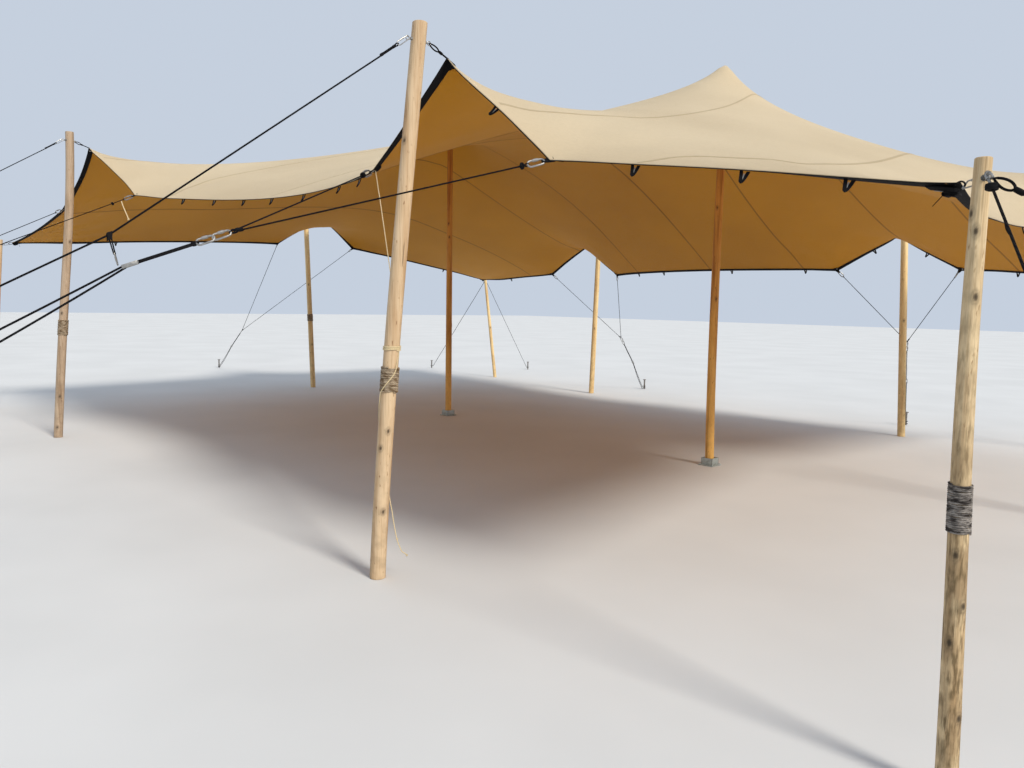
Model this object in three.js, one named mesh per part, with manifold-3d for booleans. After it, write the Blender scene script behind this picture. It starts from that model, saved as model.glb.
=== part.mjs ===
// A stretch tent: one elastic canopy over two inner king poles, held out at its edges and
// corners by timber poles, with black guys to ground stakes. Millimetres, +Z up. The ground is z = 0
// and the origin is under the foot of the right-hand king pole. +X runs along the tent, +Y from its
// front to its back.
import * as THREE from 'three';
import { mergeVertices } from 'three/addons/utils/BufferGeometryUtils.js';
import Module from 'manifold-3d';

const wasm = await Module();
wasm.setup();

// Driving dimensions
const GAP = 0.3;
const CANOPY_THICKNESS = 6;
const WEBBING_WIDTH = 45;
const WEBBING_LAP = 4;
const POLE_SIDES = 12;
const ROPE_RADIUS = 6;
const STRAP_RADIUS = 13;
const ROPE_SIDES = 6;
const CORD_QUARTER_SIDES = 2;
const CORD_STEP = 6;
const KNOT_SIDES = 8;
const KNOT_RINGS = 6;
const STAKE_SIDES = 10;
const JUNCTION_RADIUS = 26;
const BLOCK_RADIUS = 20;
const LINK_RADIUS = 9;
const LINK_BELOW_TOP = { edge: 95, corner: 65 };
const SHACKLE_REACH = 110;
const SHACKLE_DROP = 40;
const SHACKLE_RADIUS = 20;
const STAKE = { radius: 15, height: 190, headRadius: 30, headThickness: 12 };
const STRAP_HEIGHT_ON_STAKE = 55;
const TOP_GUY_HEIGHT_ON_STAKE = 130;
const FOOT = { side: 170, plate: 8, socketSide: 126, socketHeight: 72 };
const EDGE_POLE = { foot: 46, top: 42 };
const CORNER_POLE = { foot: 36, top: 28 };
const KING_POLE = { foot: 44, top: 37 };
const BOW_STEPS = 8;

// Tension of the canopy: pull of the edge webbing, pull along the tent as a share of the pull across
// it, fullness of the field, and how much stronger the cloth pulls close to a king pole
const EDGE_PULL = 31900;
const LENGTHWISE_PULL = 0.409;
const FIELD_LIFT = 0.000186;
const KING_PULL = { strength: 7380, reach: 5 };

// Weight of the edges, of which the front one is slack only as far as FRONT_SPLIT
const EDGE_WEIGHT = { front: 3.05, back: 2.3, left: 0.2, right: 2.03 };
const FRONT_SPLIT = 300;

// Crown of the canopy over a king pole: as far as its reach it drops by depth times the logarithm of
// 1 + distance / scale
const CROWN = { reach: 300, depth: 1110, scale: 1400 };

// Net stations: where the lines of the net run, as key places and the cells between them
const COLUMN_KEYS = [-8200, -6750, -5600, -4950, -4350, -4100, -190, 0, 600, 1400, 3200];
const COLUMN_CELLS = [5, 3, 2, 2, 1, 10, 1, 2, 3, 5];
const ROW_KEYS = [-4200, -3600, -480, 50, 400, 1060, 3400, 4000];
const ROW_CELLS = [3, 8, 2, 1, 2, 6, 3];

// King poles: foot on the ground, the height of the canopy's peak over them, and how far the crown
// leans down for each millimetre towards +X and +Y. Every pole that is not quite straight has a bow:
// how far it stands out at its fullest, and where, as a share of height
const KINGS = [
  { name: 'left', foot: [-4350, 150], head: [-4340, 120], peak: 4045, lean: [-0.17, 0.045] },
  {
    name: 'right', foot: [0, 0], head: [9, -62], peak: 3958, lean: [0.27, 0.09],
    bow: { out: [-12, -12], at: 0.36 },
  },
];

// Edge peaks: the pole, the corner of the canopy that hangs from it, the two low ties beside it, and
// the guys that hold the ties: two ropes to a junction, and a strap from there to a stake. On the
// front poles a guy also leaves the pole's top, over a block, to the same stake; at the right one a
// short strap from the block draws the tie guys' own strap up at its ratchet
const PEAKS = [
  {
    name: 'front_left', side: 'front',
    pole: { foot: [-5690, -4520], head: [-5506, -4336, 3390], bow: { out: [20, 20], at: 0.75 } },
    peak: [-5615, -4070, 3250], ties: [[-6730, -4070, 2676], [-4120, -4110, 2630]],
    junction: [-5580, -6680, 1320], stake: [-5580, -9130], block: [-5536, -6040, 2170],
  },
  {
    name: 'front_right', side: 'front',
    pole: { foot: [450, -4440], head: [606, -4280, 3120], bow: { out: [-13, -13], at: 0.4 } },
    peak: [620, -4060, 2945], ties: [[85, -4200, 2405], [1535, -4175, 2305]],
    junction: [620, -5380, 1905], ratchet: [421, -5800, 1726], stake: [20, -8900],
    block: [450, -5840, 1868],
  },
  {
    name: 'back_left', side: 'back', pole: { foot: [-4930, 4110], head: [-4889, 4151, 2800] },
    peak: [-4965, 3865, 2670], ties: [[-5995, 4100, 2215], [-4220, 3830, 2170]],
    junction: [-4835, 4838, 1016], stake: [-4780, 5580],
  },
  {
    name: 'back_right', side: 'back', pole: { foot: [660, 3630], head: [557, 3527, 2690] },
    peak: [555, 3295, 2550], ties: [[-255, 3460, 2170], [1240, 3505, 2150]],
    junction: [512, 4055, 1212], stake: [350, 4750],
  },
  {
    name: 'left_end', side: 'left', pole: { foot: [-8660, 490], head: [-8744, 406, 3220] },
    peak: [-8410, 525, 3095], ties: [[-8210, -430, 2580], [-8240, 1105, 2600]],
    junction: [-11716, 578, 941], stake: [-13600, 900],
  },
  {
    name: 'right_end', side: 'right', pole: { foot: [3700, 350], head: [3810, 350, 3070] },
    peak: [3395, 295, 2950], ties: [[2970, -545, 2240], [3050, 1120, 2240]],
    junction: [5320, 350, 1130], stake: [7020, 350],
  },
];

// Corners: the pole, the corner of the canopy, and the two stakes of its guys
const CORNERS = [
  {
    name: 'front_left', pole: { foot: [-8540, -4590], head: [-8400, -4440, 2350] },
    corner: [-8200, -4300, 2311], stakes: [[-10880, -4980], [-8880, -6880]],
  },
  {
    name: 'front_right',
    pole: { foot: [3403, -4222], head: [3372, -4250, 2080], bow: { out: [-9, -9], at: 0.65 } },
    corner: [3180, -3900, 2050], stakes: [[6420, -4580], [4590, -6200]],
  },
  {
    name: 'back_left', pole: { foot: [-8220, 4770], head: [-8403, 4587, 2230] },
    corner: [-8180, 4325, 2135], stakes: [[-10880, 5120], [-9280, 6920]],
  },
  {
    name: 'back_right', pole: { foot: [3370, 4000], head: [3440, 4070, 2150] },
    corner: [3220, 3820, 2050], stakes: [[6120, 4420], [4220, 6320]],
  },
];

// Loose cords hang where a rope was made fast: each has its points from its upper end down. The one
// round the front right pole starts as [height, angle in degrees, middle of the cord to the wood]
const TIE_CORD = {
  radius: 3,
  points: [
    [89, -4209, 2399], [89, -4204, 2372], [91, -4197, 2330], [94, -4191, 2285], [99, -4185, 2240],
    [104, -4180, 2192], [109, -4175, 2145], [114, -4170, 2098], [119, -4165, 2050], [124, -4160, 2002],
    [129, -4155, 1954], [134, -4150, 1906], [139, -4145, 1858], [144, -4140, 1810], [149, -4135, 1768],
    [152, -4132, 1742],
  ],
};
const GUY_CORD = {
  radius: 6,
  points: [
    [-4201, -4253, 2557], [-4200, -4252, 2547], [-4198, -4250, 2535], [-4195, -4247, 2521],
    [-4192, -4244, 2507], [-4188, -4240, 2493], [-4184, -4236, 2479], [-4180, -4232, 2465],
    [-4176, -4228, 2451], [-4172, -4224, 2437], [-4168, -4220, 2423], [-4164, -4216, 2409],
    [-4160, -4212, 2395], [-4157, -4209, 2381], [-4154, -4206, 2367],
  ],
};
const POLE_CORD = {
  radius: 3,
  wound: [
    [1345, 25, 3], [1312, 22, 3], [1280, 15, 3], [1250, 8, 4], [1222, 0, 8], [1190, -16, 9],
    [1160, -40, 9], [1125, -68, 9], [1092, -94, 8], [1060, -110, 4], [1000, -131, 3], [930, -150, 3],
    [860, -169, 3], [790, -188, 3], [720, -206, 3], [650, -225, 3], [580, -245, 3], [515, -268, 3],
  ],
  hanging: [
    [499, -4390, 460], [506, -4381, 400], [513, -4375, 340], [521, -4368, 282], [529, -4360, 228],
    [537, -4352, 195], [549, -4340, 158], [562, -4327, 146], [572, -4317, 132],
  ],
  knot: { place: [529, -4360, 228], radius: 10 },
};

const FINISH = {
  canvas: { color: 0xddcba8, roughness: 0.85, metalness: 0 },
  webbing: { color: 0x1c1a1c, roughness: 0.8, metalness: 0 },
  timber: { color: 0xcfa873, roughness: 0.7, metalness: 0 },
  rope: { color: 0x222024, roughness: 0.75, metalness: 0 },
  steel: { color: 0xb4b6ba, roughness: 0.4, metalness: 1 },
  plate: { color: 0x84948c, roughness: 0.5, metalness: 1 },
  cord: { color: 0xd6b682, roughness: 0.85, metalness: 0 },
};

const tent = new THREE.Group();
const vec = (p) => new THREE.Vector3(...p);

function addPiece(name, geometry, finish) {
  const piece = new THREE.Mesh(geometry, new THREE.MeshStandardMaterial(finish));
  piece.name = name;
  tent.add(piece);
}

// Solids
function toSolid(geometry) {
  const bare = geometry.clone();
  bare.deleteAttribute('normal');
  bare.deleteAttribute('uv');
  const merged = mergeVertices(bare, 1e-3);
  return new wasm.Manifold(new wasm.Mesh({
    numProp: 3,
    vertProperties: new Float32Array(merged.attributes.position.array),
    triVerts: new Uint32Array(merged.index.array),
  }));
}

function toGeometry(solid) {
  const mesh = solid.getMesh();
  const geometry = new THREE.BufferGeometry();
  geometry.setAttribute('position', new THREE.BufferAttribute(mesh.vertProperties, mesh.numProp));
  geometry.setIndex(new THREE.BufferAttribute(mesh.triVerts, 1));
  return geometry;
}

function largestBody(solid) {
  return solid.decompose().reduce((best, body) => (body.volume() > best.volume() ? body : best));
}

function cutBy(solid, tools) {
  return largestBody(tools.reduce((rest, tool) => rest.subtract(tool), solid));
}

// Canopy net
function stations(keys, cells) {
  const places = [keys[0]];
  cells.forEach((count, k) => {
    for (let n = 1; n <= count; n += 1) places.push(keys[k] + ((keys[k + 1] - keys[k]) * n) / count);
  });
  return places;
}

const columns = stations(COLUMN_KEYS, COLUMN_CELLS);
const rows = stations(ROW_KEYS, ROW_CELLS);
const lastColumn = columns.length - 1;
const lastRow = rows.length - 1;
const nodeIndex = (i, j) => j * columns.length + i;

function nearest(places, value) {
  const miss = (k) => Math.abs(places[k] - value);
  return places.reduce((best, _, k) => (miss(k) < miss(best) ? k : best), 0);
}

function share(places, k) {
  return (places[Math.min(k + 1, places.length - 1)] - places[Math.max(k - 1, 0)]) / 2;
}

function heldNodes() {
  const held = new Map();
  for (const { side, peak, ties } of PEAKS) {
    const lengthwise = side === 'front' || side === 'back';
    const edge = { front: 0, back: lastRow, left: 0, right: lastColumn }[side];
    for (const point of [peak, ...ties]) {
      const node = lengthwise
        ? nodeIndex(nearest(columns, point[0]), edge)
        : nodeIndex(edge, nearest(rows, point[1]));
      held.set(node, point);
    }
  }
  for (const { corner } of CORNERS) {
    const column = corner[0] < KINGS[0].foot[0] ? 0 : lastColumn;
    held.set(nodeIndex(column, corner[1] < 0 ? 0 : lastRow), corner);
  }
  for (const { head, peak, lean } of KINGS) {
    const [ic, jc] = [nearest(columns, head[0]), nearest(rows, head[1])];
    for (let i = ic - 2; i <= ic + 2; i += 1) {
      for (let j = jc - 2; j <= jc + 2; j += 1) {
        const [dx, dy] = [columns[i] - columns[ic], rows[j] - rows[jc]];
        const reach = Math.hypot(dx, dy);
        if (reach > CROWN.reach) continue;
        const drop = CROWN.depth * Math.log(1 + reach / CROWN.scale);
        const height = peak - drop - lean[0] * dx - lean[1] * dy;
        held.set(nodeIndex(i, j), [head[0] + dx, head[1] + dy, height]);
      }
    }
  }
  return held;
}

function pullAt(x, y) {
  const { strength, reach } = KING_PULL;
  const near = ([kingX, kingY]) => strength / (Math.hypot(x - kingX, y - kingY) + reach);
  return KINGS.reduce((sum, { head }) => sum + near(head), 1);
}

function netLinks() {
  const links = Array.from({ length: columns.length * rows.length }, () => []);
  const join = (a, b, pull) => {
    links[a].push([b, pull]);
    links[b].push([a, pull]);
  };
  rows.forEach((y, j) => {
    for (let i = 0; i < lastColumn; i += 1) {
      const length = columns[i + 1] - columns[i];
      const edge = j === 0 || j === lastRow ? EDGE_PULL : 0;
      const field = LENGTHWISE_PULL * share(rows, j) * pullAt((columns[i] + columns[i + 1]) / 2, y);
      join(nodeIndex(i, j), nodeIndex(i + 1, j), (field + edge) / length);
    }
  });
  columns.forEach((x, i) => {
    for (let j = 0; j < lastRow; j += 1) {
      const length = rows[j + 1] - rows[j];
      const edge = i === 0 || i === lastColumn ? EDGE_PULL : 0;
      const field = share(columns, i) * pullAt(x, (rows[j] + rows[j + 1]) / 2);
      join(nodeIndex(i, j), nodeIndex(i, j + 1), (field + edge) / length);
    }
  });
  return links;
}

function loadAt(i, j) {
  let load = FIELD_LIFT * share(columns, i) * share(rows, j);
  if (j === 0 && columns[i] < FRONT_SPLIT) load -= EDGE_WEIGHT.front * share(columns, i);
  if (j === lastRow) load -= EDGE_WEIGHT.back * share(columns, i);
  if (i === 0) load -= EDGE_WEIGHT.left * share(rows, j);
  if (i === lastColumn) load -= EDGE_WEIGHT.right * share(rows, j);
  return load;
}

// The net at rest: each free node is moved to where the pulls of its neighbours balance
function relaxedNet() {
  const ROUNDS = 1200;
  const OVERSHOOT = 1.85;
  const START_HEIGHT = 2600;
  const held = heldNodes();
  const links = netLinks();
  const net = [];
  rows.forEach((y, j) => {
    columns.forEach((x, i) => net.push(held.get(nodeIndex(i, j)) ?? [x, y, START_HEIGHT]));
  });
  for (let round = 0; round < ROUNDS; round += 1) {
    for (let j = 0; j <= lastRow; j += 1) {
      for (let i = 0; i <= lastColumn; i += 1) {
        const k = nodeIndex(i, j);
        if (held.has(k)) continue;
        const total = links[k].reduce((sum, [, pull]) => sum + pull, 0);
        const point = net[k];
        const target = [0, 0, loadAt(i, j)];
        for (const [other, pull] of links[k]) {
          for (let axis = 0; axis < 3; axis += 1) target[axis] += pull * net[other][axis];
        }
        net[k] = point.map((value, axis) => value + OVERSHOOT * (target[axis] / total - value));
      }
    }
  }
  return net.map(vec);
}

const net = relaxedNet();

function netNormal(i, j) {
  const along = net[nodeIndex(Math.min(i + 1, lastColumn), j)].clone()
    .sub(net[nodeIndex(Math.max(i - 1, 0), j)]);
  const across = net[nodeIndex(i, Math.min(j + 1, lastRow))].clone()
    .sub(net[nodeIndex(i, Math.max(j - 1, 0))]);
  return along.cross(across).normalize();
}

// The rim runs once round the net, anticlockwise from above
function rimNodes() {
  const nodes = [];
  for (let i = 0; i < lastColumn; i += 1) nodes.push([i, 0]);
  for (let j = 0; j < lastRow; j += 1) nodes.push([lastColumn, j]);
  for (let i = lastColumn; i > 0; i -= 1) nodes.push([i, lastRow]);
  for (let j = lastRow; j > 0; j -= 1) nodes.push([0, j]);
  return nodes;
}

const rim = rimNodes();

// The way out of the cloth at a rim node, as long as a mitre of width one
function rimOutward(k) {
  const MITRE_LIMIT = 1.6;
  const place = (n) => net[nodeIndex(...rim[(n + rim.length) % rim.length])];
  const normal = netNormal(...rim[k % rim.length]);
  const before = place(k).clone().sub(place(k - 1)).cross(normal).normalize();
  const after = place(k + 1).clone().sub(place(k)).cross(normal).normalize();
  const out = before.clone().add(after).normalize();
  return out.multiplyScalar(Math.min(1 / out.dot(before), MITRE_LIMIT));
}

const outward = new Map(rim.map((node, k) => [nodeIndex(...node), rimOutward(k)]));

// The canopy is a flat grid box bent onto the net, spread past the rim where a clearance needs it
function canopyGeometry(thickness, spread = 0) {
  const geometry = new THREE.BoxGeometry(1, 1, 1, lastColumn, lastRow, 1);
  const position = geometry.attributes.position;
  for (let v = 0; v < position.count; v += 1) {
    const i = Math.round((position.getX(v) + 0.5) * lastColumn);
    const j = Math.round((position.getY(v) + 0.5) * lastRow);
    const point = net[nodeIndex(i, j)].clone()
      .addScaledVector(netNormal(i, j), position.getZ(v) * thickness);
    if (outward.has(nodeIndex(i, j))) point.addScaledVector(outward.get(nodeIndex(i, j)), spread);
    position.setXYZ(v, ...point);
  }
  return geometry;
}

// The webbing is a ring of rectangular section laid along the rim, mitred at each node
function webbingGeometry(inset, width, thickness) {
  const count = rim.length;
  const geometry = new THREE.TorusGeometry(1, 0.1, 4, count);
  const position = geometry.attributes.position;
  for (let side = 0; side <= 4; side += 1) {
    for (let k = 0; k <= count; k += 1) {
      const node = rim[k % count];
      const outer = side % 4 === 0 || side % 4 === 3;
      const upper = side % 4 < 2;
      const point = net[nodeIndex(...node)].clone()
        .addScaledVector(outward.get(nodeIndex(...node)), outer ? width : inset)
        .addScaledVector(netNormal(...node), (upper ? 0.5 : -0.5) * thickness);
      position.setXYZ(side * (count + 1) + k, ...point);
    }
  }
  return geometry;
}

const grownCanopy = toSolid(canopyGeometry(CANOPY_THICKNESS + 2 * GAP, GAP));
const grownWebbing = toSolid(webbingGeometry(
  -WEBBING_LAP - 2 * GAP,
  WEBBING_WIDTH + 2 * GAP,
  CANOPY_THICKNESS + 4 * GAP,
));

// The middle of a pole at a height: on the line from foot to head, plus the bow
function onPole({ foot, head, bow }, height) {
  const t = height / head[2];
  const swell = bow ? Math.sin(Math.PI * t ** (Math.log(0.5) / Math.log(bow.at))) : 0;
  const [x, y] = [0, 1].map((axis) => (
    foot[axis] + t * (head[axis] - foot[axis]) + swell * (bow ? bow.out[axis] : 0)
  ));
  return new THREE.Vector3(x, y, height);
}

// Poles stand with both ends cut level, however they lean
function poleGeometry(pole, radius, grow = 0) {
  const height = pole.head[2];
  const steps = pole.bow ? BOW_STEPS : 1;
  const geometry = new THREE.CylinderGeometry(
    radius.top + grow,
    radius.foot + grow,
    height,
    POLE_SIDES,
    steps,
  );
  geometry.rotateX(Math.PI / 2).translate(0, 0, height / 2);
  const position = geometry.attributes.position;
  for (let v = 0; v < position.count; v += 1) {
    const middle = onPole(pole, position.getZ(v));
    position.setXY(v, position.getX(v) + middle.x, position.getY(v) + middle.y);
  }
  return geometry;
}

function strand(from, to, radius) {
  const run = to.clone().sub(from);
  const geometry = new THREE.CylinderGeometry(radius, radius, run.length(), ROPE_SIDES);
  geometry.applyQuaternion(new THREE.Quaternion().setFromUnitVectors(
    new THREE.Vector3(0, 1, 0),
    run.clone().normalize(),
  ));
  const middle = from.clone().add(to).multiplyScalar(0.5);
  return toSolid(geometry.translate(...middle));
}

function ball(place, radius) {
  return toSolid(new THREE.SphereGeometry(radius, KNOT_SIDES, KNOT_RINGS).translate(...place));
}

// Strands from place to place, with a ball where they bend
function lineThrough(places, radius, ballRadius) {
  const strands = places.slice(1).map((place, n) => strand(places[n], place, radius));
  const balls = places.slice(1, -1).map((place) => ball(place, ballRadius));
  return [...strands, ...balls].reduce((all, part) => all.add(part));
}

function cordSolid(points, radius) {
  const route = new THREE.CatmullRomCurve3(points);
  const section = new THREE.Shape().absarc(0, 0, radius, 0, 2 * Math.PI);
  return toSolid(new THREE.ExtrudeGeometry(section, {
    steps: Math.round(route.getLength() / (CORD_STEP * radius)),
    curveSegments: 2 * CORD_QUARTER_SIDES,
    extrudePath: route,
  }));
}

// A point beside a pole, by its height, its angle about the pole and its distance from the wood
function besidePole(pole, radius, [height, angle, distance]) {
  const reach = radius.foot + (radius.top - radius.foot) * (height / pole.head[2]) + distance;
  const turn = THREE.MathUtils.degToRad(angle);
  return onPole(pole, height).add(new THREE.Vector3(Math.cos(turn), Math.sin(turn), 0)
    .multiplyScalar(reach));
}

function stakeGeometry([x, y], grow = 0) {
  const { radius, height, headRadius, headThickness } = STAKE;
  const profile = [
    [0, 0], [radius + grow, 0], [radius + grow, height - headThickness - grow],
    [headRadius + grow, height - headThickness - grow], [headRadius + grow, height + grow],
    [0, height + grow],
  ].map(([r, z]) => new THREE.Vector2(r, z));
  const geometry = new THREE.LatheGeometry(profile, STAKE_SIDES);
  return geometry.rotateX(Math.PI / 2).translate(x, y, 0);
}

// A plate on the ground with a square socket round the pole's foot
function footGeometry([x, y], pole) {
  const { side, plate: thickness, socketSide, socketHeight } = FOOT;
  const plate = new THREE.BoxGeometry(side, side, thickness).translate(x, y, thickness / 2);
  const socket = new THREE.BoxGeometry(socketSide, socketSide, socketHeight)
    .translate(x, y, (thickness + socketHeight) / 2);
  return toGeometry(toSolid(plate).add(toSolid(socket)).subtract(pole));
}

addPiece('canopy', canopyGeometry(CANOPY_THICKNESS), FINISH.canvas);
const webbing = toSolid(webbingGeometry(-WEBBING_LAP, WEBBING_WIDTH, CANOPY_THICKNESS));
addPiece('edge_webbing', toGeometry(cutBy(webbing, [grownCanopy])), FINISH.webbing);

// King poles: their feet stand in collars, their heads are cut to the canopy that rests on them
for (const { name, foot, head, peak, bow } of KINGS) {
  const line = { foot, head: [...head, peak], bow };
  const aboveFoot = toSolid(new THREE.BoxGeometry(FOOT.side, FOOT.side, 2 * (FOOT.plate + GAP))
    .translate(...foot, 0));
  const pole = cutBy(toSolid(poleGeometry(line, KING_POLE)), [aboveFoot, grownCanopy]);
  addPiece(`king_pole_${name}`, toGeometry(pole), FINISH.timber);
  const socket = toSolid(poleGeometry(line, KING_POLE, GAP)).subtract(
    toSolid(new THREE.BoxGeometry(FOOT.side, FOOT.side, 2 * FOOT.plate).translate(...foot, 0)),
  );
  addPiece(`king_foot_${name}`, footGeometry(foot, socket), FINISH.plate);
}

function addStake(name, place) {
  addPiece(name, stakeGeometry(place), FINISH.steel);
  return toSolid(stakeGeometry(place, GAP));
}

function addPoleAndLink(name, pole, radius, belowTop, corner) {
  const grownPole = toSolid(poleGeometry(pole, radius, GAP));
  const eye = onPole(pole, pole.head[2] - belowTop);
  addPiece(`pole_${name}`, poleGeometry(pole, radius), FINISH.timber);
  const link = cutBy(strand(eye, vec(corner), LINK_RADIUS), [grownPole, grownCanopy, grownWebbing]);
  addPiece(`link_${name}`, toGeometry(link), FINISH.steel);
  return { grownPole, eye };
}

// What a loose cord beside each edge peak keeps clear of
const clearances = new Map();

for (const { name, pole, peak, ties, junction, ratchet, stake, block } of PEAKS) {
  const { grownPole, eye } = addPoleAndLink(name, pole, EDGE_POLE, LINK_BELOW_TOP.edge, peak);
  const grownStake = addStake(`stake_${name}`, stake);
  const meeting = vec(junction);
  const strapEnd = new THREE.Vector3(...stake, STRAP_HEIGHT_ON_STAKE);
  const strapRoute = [meeting, ...(ratchet ? [vec(ratchet)] : []), strapEnd];
  const ropes = ties.map((tie) => strand(vec(tie), meeting, ROPE_RADIUS));
  const grownRopes = ties.map((tie) => strand(vec(tie), meeting, ROPE_RADIUS + GAP));
  clearances.set(name, [grownPole, grownCanopy, grownWebbing, ...grownRopes]);
  const strap = ball(meeting, JUNCTION_RADIUS)
    .add(lineThrough(strapRoute, STRAP_RADIUS, BLOCK_RADIUS));
  const guys = ropes.reduce((all, rope) => all.add(rope), strap);
  const clearGuys = cutBy(guys, [grownCanopy, grownWebbing, grownStake]);
  addPiece(`tie_guys_${name}`, toGeometry(clearGuys), FINISH.rope);
  if (!block) continue;
  const guyEnd = new THREE.Vector3(...stake, TOP_GUY_HEIGHT_ON_STAKE);
  let topGuy = lineThrough([eye, vec(block), guyEnd], ROPE_RADIUS, BLOCK_RADIUS);
  const obstacles = [grownPole, grownStake];
  if (ratchet) {
    topGuy = topGuy.add(strand(vec(block), vec(ratchet), ROPE_RADIUS));
    obstacles.push(lineThrough(strapRoute, STRAP_RADIUS + GAP, BLOCK_RADIUS + GAP));
  }
  addPiece(`top_guy_${name}`, toGeometry(cutBy(topGuy, obstacles)), FINISH.rope);
}

// Both guys of a corner leave one shackle, which hangs off the pole on the eye bolt
for (const { name, pole, corner, stakes } of CORNERS) {
  const { grownPole, eye } = addPoleAndLink(
    `${name}_corner`,
    pole,
    CORNER_POLE,
    LINK_BELOW_TOP.corner,
    corner,
  );
  const out = eye.clone().sub(vec(corner)).setZ(0).setLength(SHACKLE_REACH);
  const shackle = eye.clone().add(out).sub(new THREE.Vector3(0, 0, SHACKLE_DROP));
  let guys = ball(shackle, SHACKLE_RADIUS).add(strand(eye, shackle, LINK_RADIUS));
  const grownStakes = stakes.map((place, n) => addStake(`stake_${name}_corner_${'ab'[n]}`, place));
  for (const place of stakes) {
    guys = guys.add(strand(shackle, new THREE.Vector3(...place, STRAP_HEIGHT_ON_STAKE), ROPE_RADIUS));
  }
  addPiece(`corner_guys_${name}`, toGeometry(cutBy(guys, [grownPole, ...grownStakes])), FINISH.rope);
}

function addCord(name, beside, solid) {
  addPiece(name, toGeometry(cutBy(solid, clearances.get(beside))), FINISH.cord);
}

const cordPole = PEAKS.find(({ name }) => name === 'front_right').pole;
const poleCordRoute = [
  ...POLE_CORD.wound.map((place) => besidePole(cordPole, EDGE_POLE, place)),
  ...POLE_CORD.hanging.map(vec),
];
const knottedCord = cordSolid(poleCordRoute, POLE_CORD.radius)
  .add(ball(POLE_CORD.knot.place, POLE_CORD.knot.radius));
addCord('tie_cord', 'front_right', cordSolid(TIE_CORD.points.map(vec), TIE_CORD.radius));
addCord('guy_cord', 'front_left', cordSolid(GUY_CORD.points.map(vec), GUY_CORD.radius));
addCord('pole_cord', 'front_right', knottedCord);

export default tent;
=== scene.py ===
"""Looks of a stretch tent: one elastic canopy over two king poles, held out by ten timber poles.

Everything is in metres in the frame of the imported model: +Z up, the ground at z = 0, the origin
under the foot of the right-hand king pole, +X along the tent and +Y from its front to its back.
"""

import logging
import math
from dataclasses import dataclass, field
from enum import Enum
from typing import Sequence

import bmesh
import bpy
import numpy as np
from mathutils import Matrix, Vector
from numpy.linalg import norm


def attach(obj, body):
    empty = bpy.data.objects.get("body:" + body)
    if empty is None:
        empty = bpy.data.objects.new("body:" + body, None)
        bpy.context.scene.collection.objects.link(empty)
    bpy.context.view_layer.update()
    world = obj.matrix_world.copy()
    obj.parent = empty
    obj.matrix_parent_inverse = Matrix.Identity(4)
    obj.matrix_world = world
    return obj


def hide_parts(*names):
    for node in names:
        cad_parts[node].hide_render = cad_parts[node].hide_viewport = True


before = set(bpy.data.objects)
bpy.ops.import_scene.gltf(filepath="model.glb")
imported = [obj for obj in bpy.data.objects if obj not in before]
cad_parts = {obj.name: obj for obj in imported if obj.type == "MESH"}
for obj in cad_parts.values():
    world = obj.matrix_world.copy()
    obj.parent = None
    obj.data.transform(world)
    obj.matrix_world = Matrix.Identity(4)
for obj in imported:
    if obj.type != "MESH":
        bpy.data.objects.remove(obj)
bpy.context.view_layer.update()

log = logging.getLogger("stretch_tent")
Array = np.ndarray
Point = Sequence[float]
Pair = tuple[float, float]
Triple = tuple[float, float, float]
Colour = Triple
Piece = bpy.types.Object
Material = bpy.types.Material
Socket = bpy.types.NodeSocket
UP = np.array([0.0, 0.0, 1.0])
ALONG = np.array([1.0, 0.0, 0.0])
LEVEL = np.array([1.0, 1.0, 0.0])
BLACK, WHITE = (0.0, 0.0, 0.0), (1.0, 1.0, 1.0)
BODY = "root"
TURN = 2 * math.pi


def vec(point: Point) -> Array:
    """A point as an array."""
    return np.asarray(point, float)


def unit(v: Point) -> Array:
    """The vector, or each row of vectors, made one metre long."""
    v = vec(v)
    return v / np.maximum(norm(v, axis=-1, keepdims=True), 1e-12)


def square_to(v: Array, axis: Array) -> Array:
    """The part of v that stands square to axis, one metre long."""
    return unit(v - axis * np.dot(v, axis))


def beside_axis(axis: Array) -> Array:
    """A direction square to axis: upright, or along the tent where axis itself is upright."""
    return square_to(UP if abs(axis[2]) < 0.9 else ALONG, axis)


def circle(sides: int) -> Array:
    """Angles spread evenly once round, in radians."""
    return np.linspace(0, TURN, sides, endpoint=False)


def outward(turn: float | Array) -> Array:
    """Level directions at angles in radians from +X."""
    return np.stack([np.cos(turn), np.sin(turn), 0 * turn], -1)


def smooth_line(points: Sequence[Point], step: float) -> Array:
    """A smooth curve through the points.

    Args:
        points: places that the curve passes through.
        step: the distance between the places returned.

    Returns:
        Places along the curve, one row each.
    """
    p = vec(points)
    p = np.vstack([2 * p[0] - p[1], p, 2 * p[-1] - p[-2]])
    places = []
    for a, b, c, d in zip(p, p[1:], p[2:], p[3:]):
        count = max(2, int(norm(c - b) / step) + 1)
        t = np.linspace(0, 1, count, endpoint=False)[:, None]
        places.append(
            b + 0.5 * t * (c - a)
            + t**2 * (a - 2.5 * b + 2 * c - 0.5 * d)
            + t**3 * (1.5 * (b - c) + 0.5 * (d - a))
        )
    places.append(p[-2:-1])
    return np.vstack(places)


def line_length(path: Array) -> float:
    """Length of a line of places."""
    return float(norm(np.diff(path, axis=0), axis=1).sum())


def straight(a: Point, b: Point, step: float = 0.12) -> Array:
    """Places along the straight line from a to b, about step apart."""
    count = max(2, int(norm(vec(b) - vec(a)) / step) + 2)
    return vec(a) + np.linspace(0, 1, count)[:, None] * (vec(b) - vec(a))


def steps(v: Array, closed: bool) -> Array:
    """The way from place to place, or from row to row, which may close at the end."""
    return np.roll(v, -1, 0) - np.roll(v, 1, 0) if closed else np.gradient(v, axis=0)


def grid_normals(grid: Array, ring: bool = False) -> Array:
    """Upward normals of a grid of places, whose last row may join its first."""
    return unit(np.cross(np.gradient(grid, axis=1), steps(grid, ring)))


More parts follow.
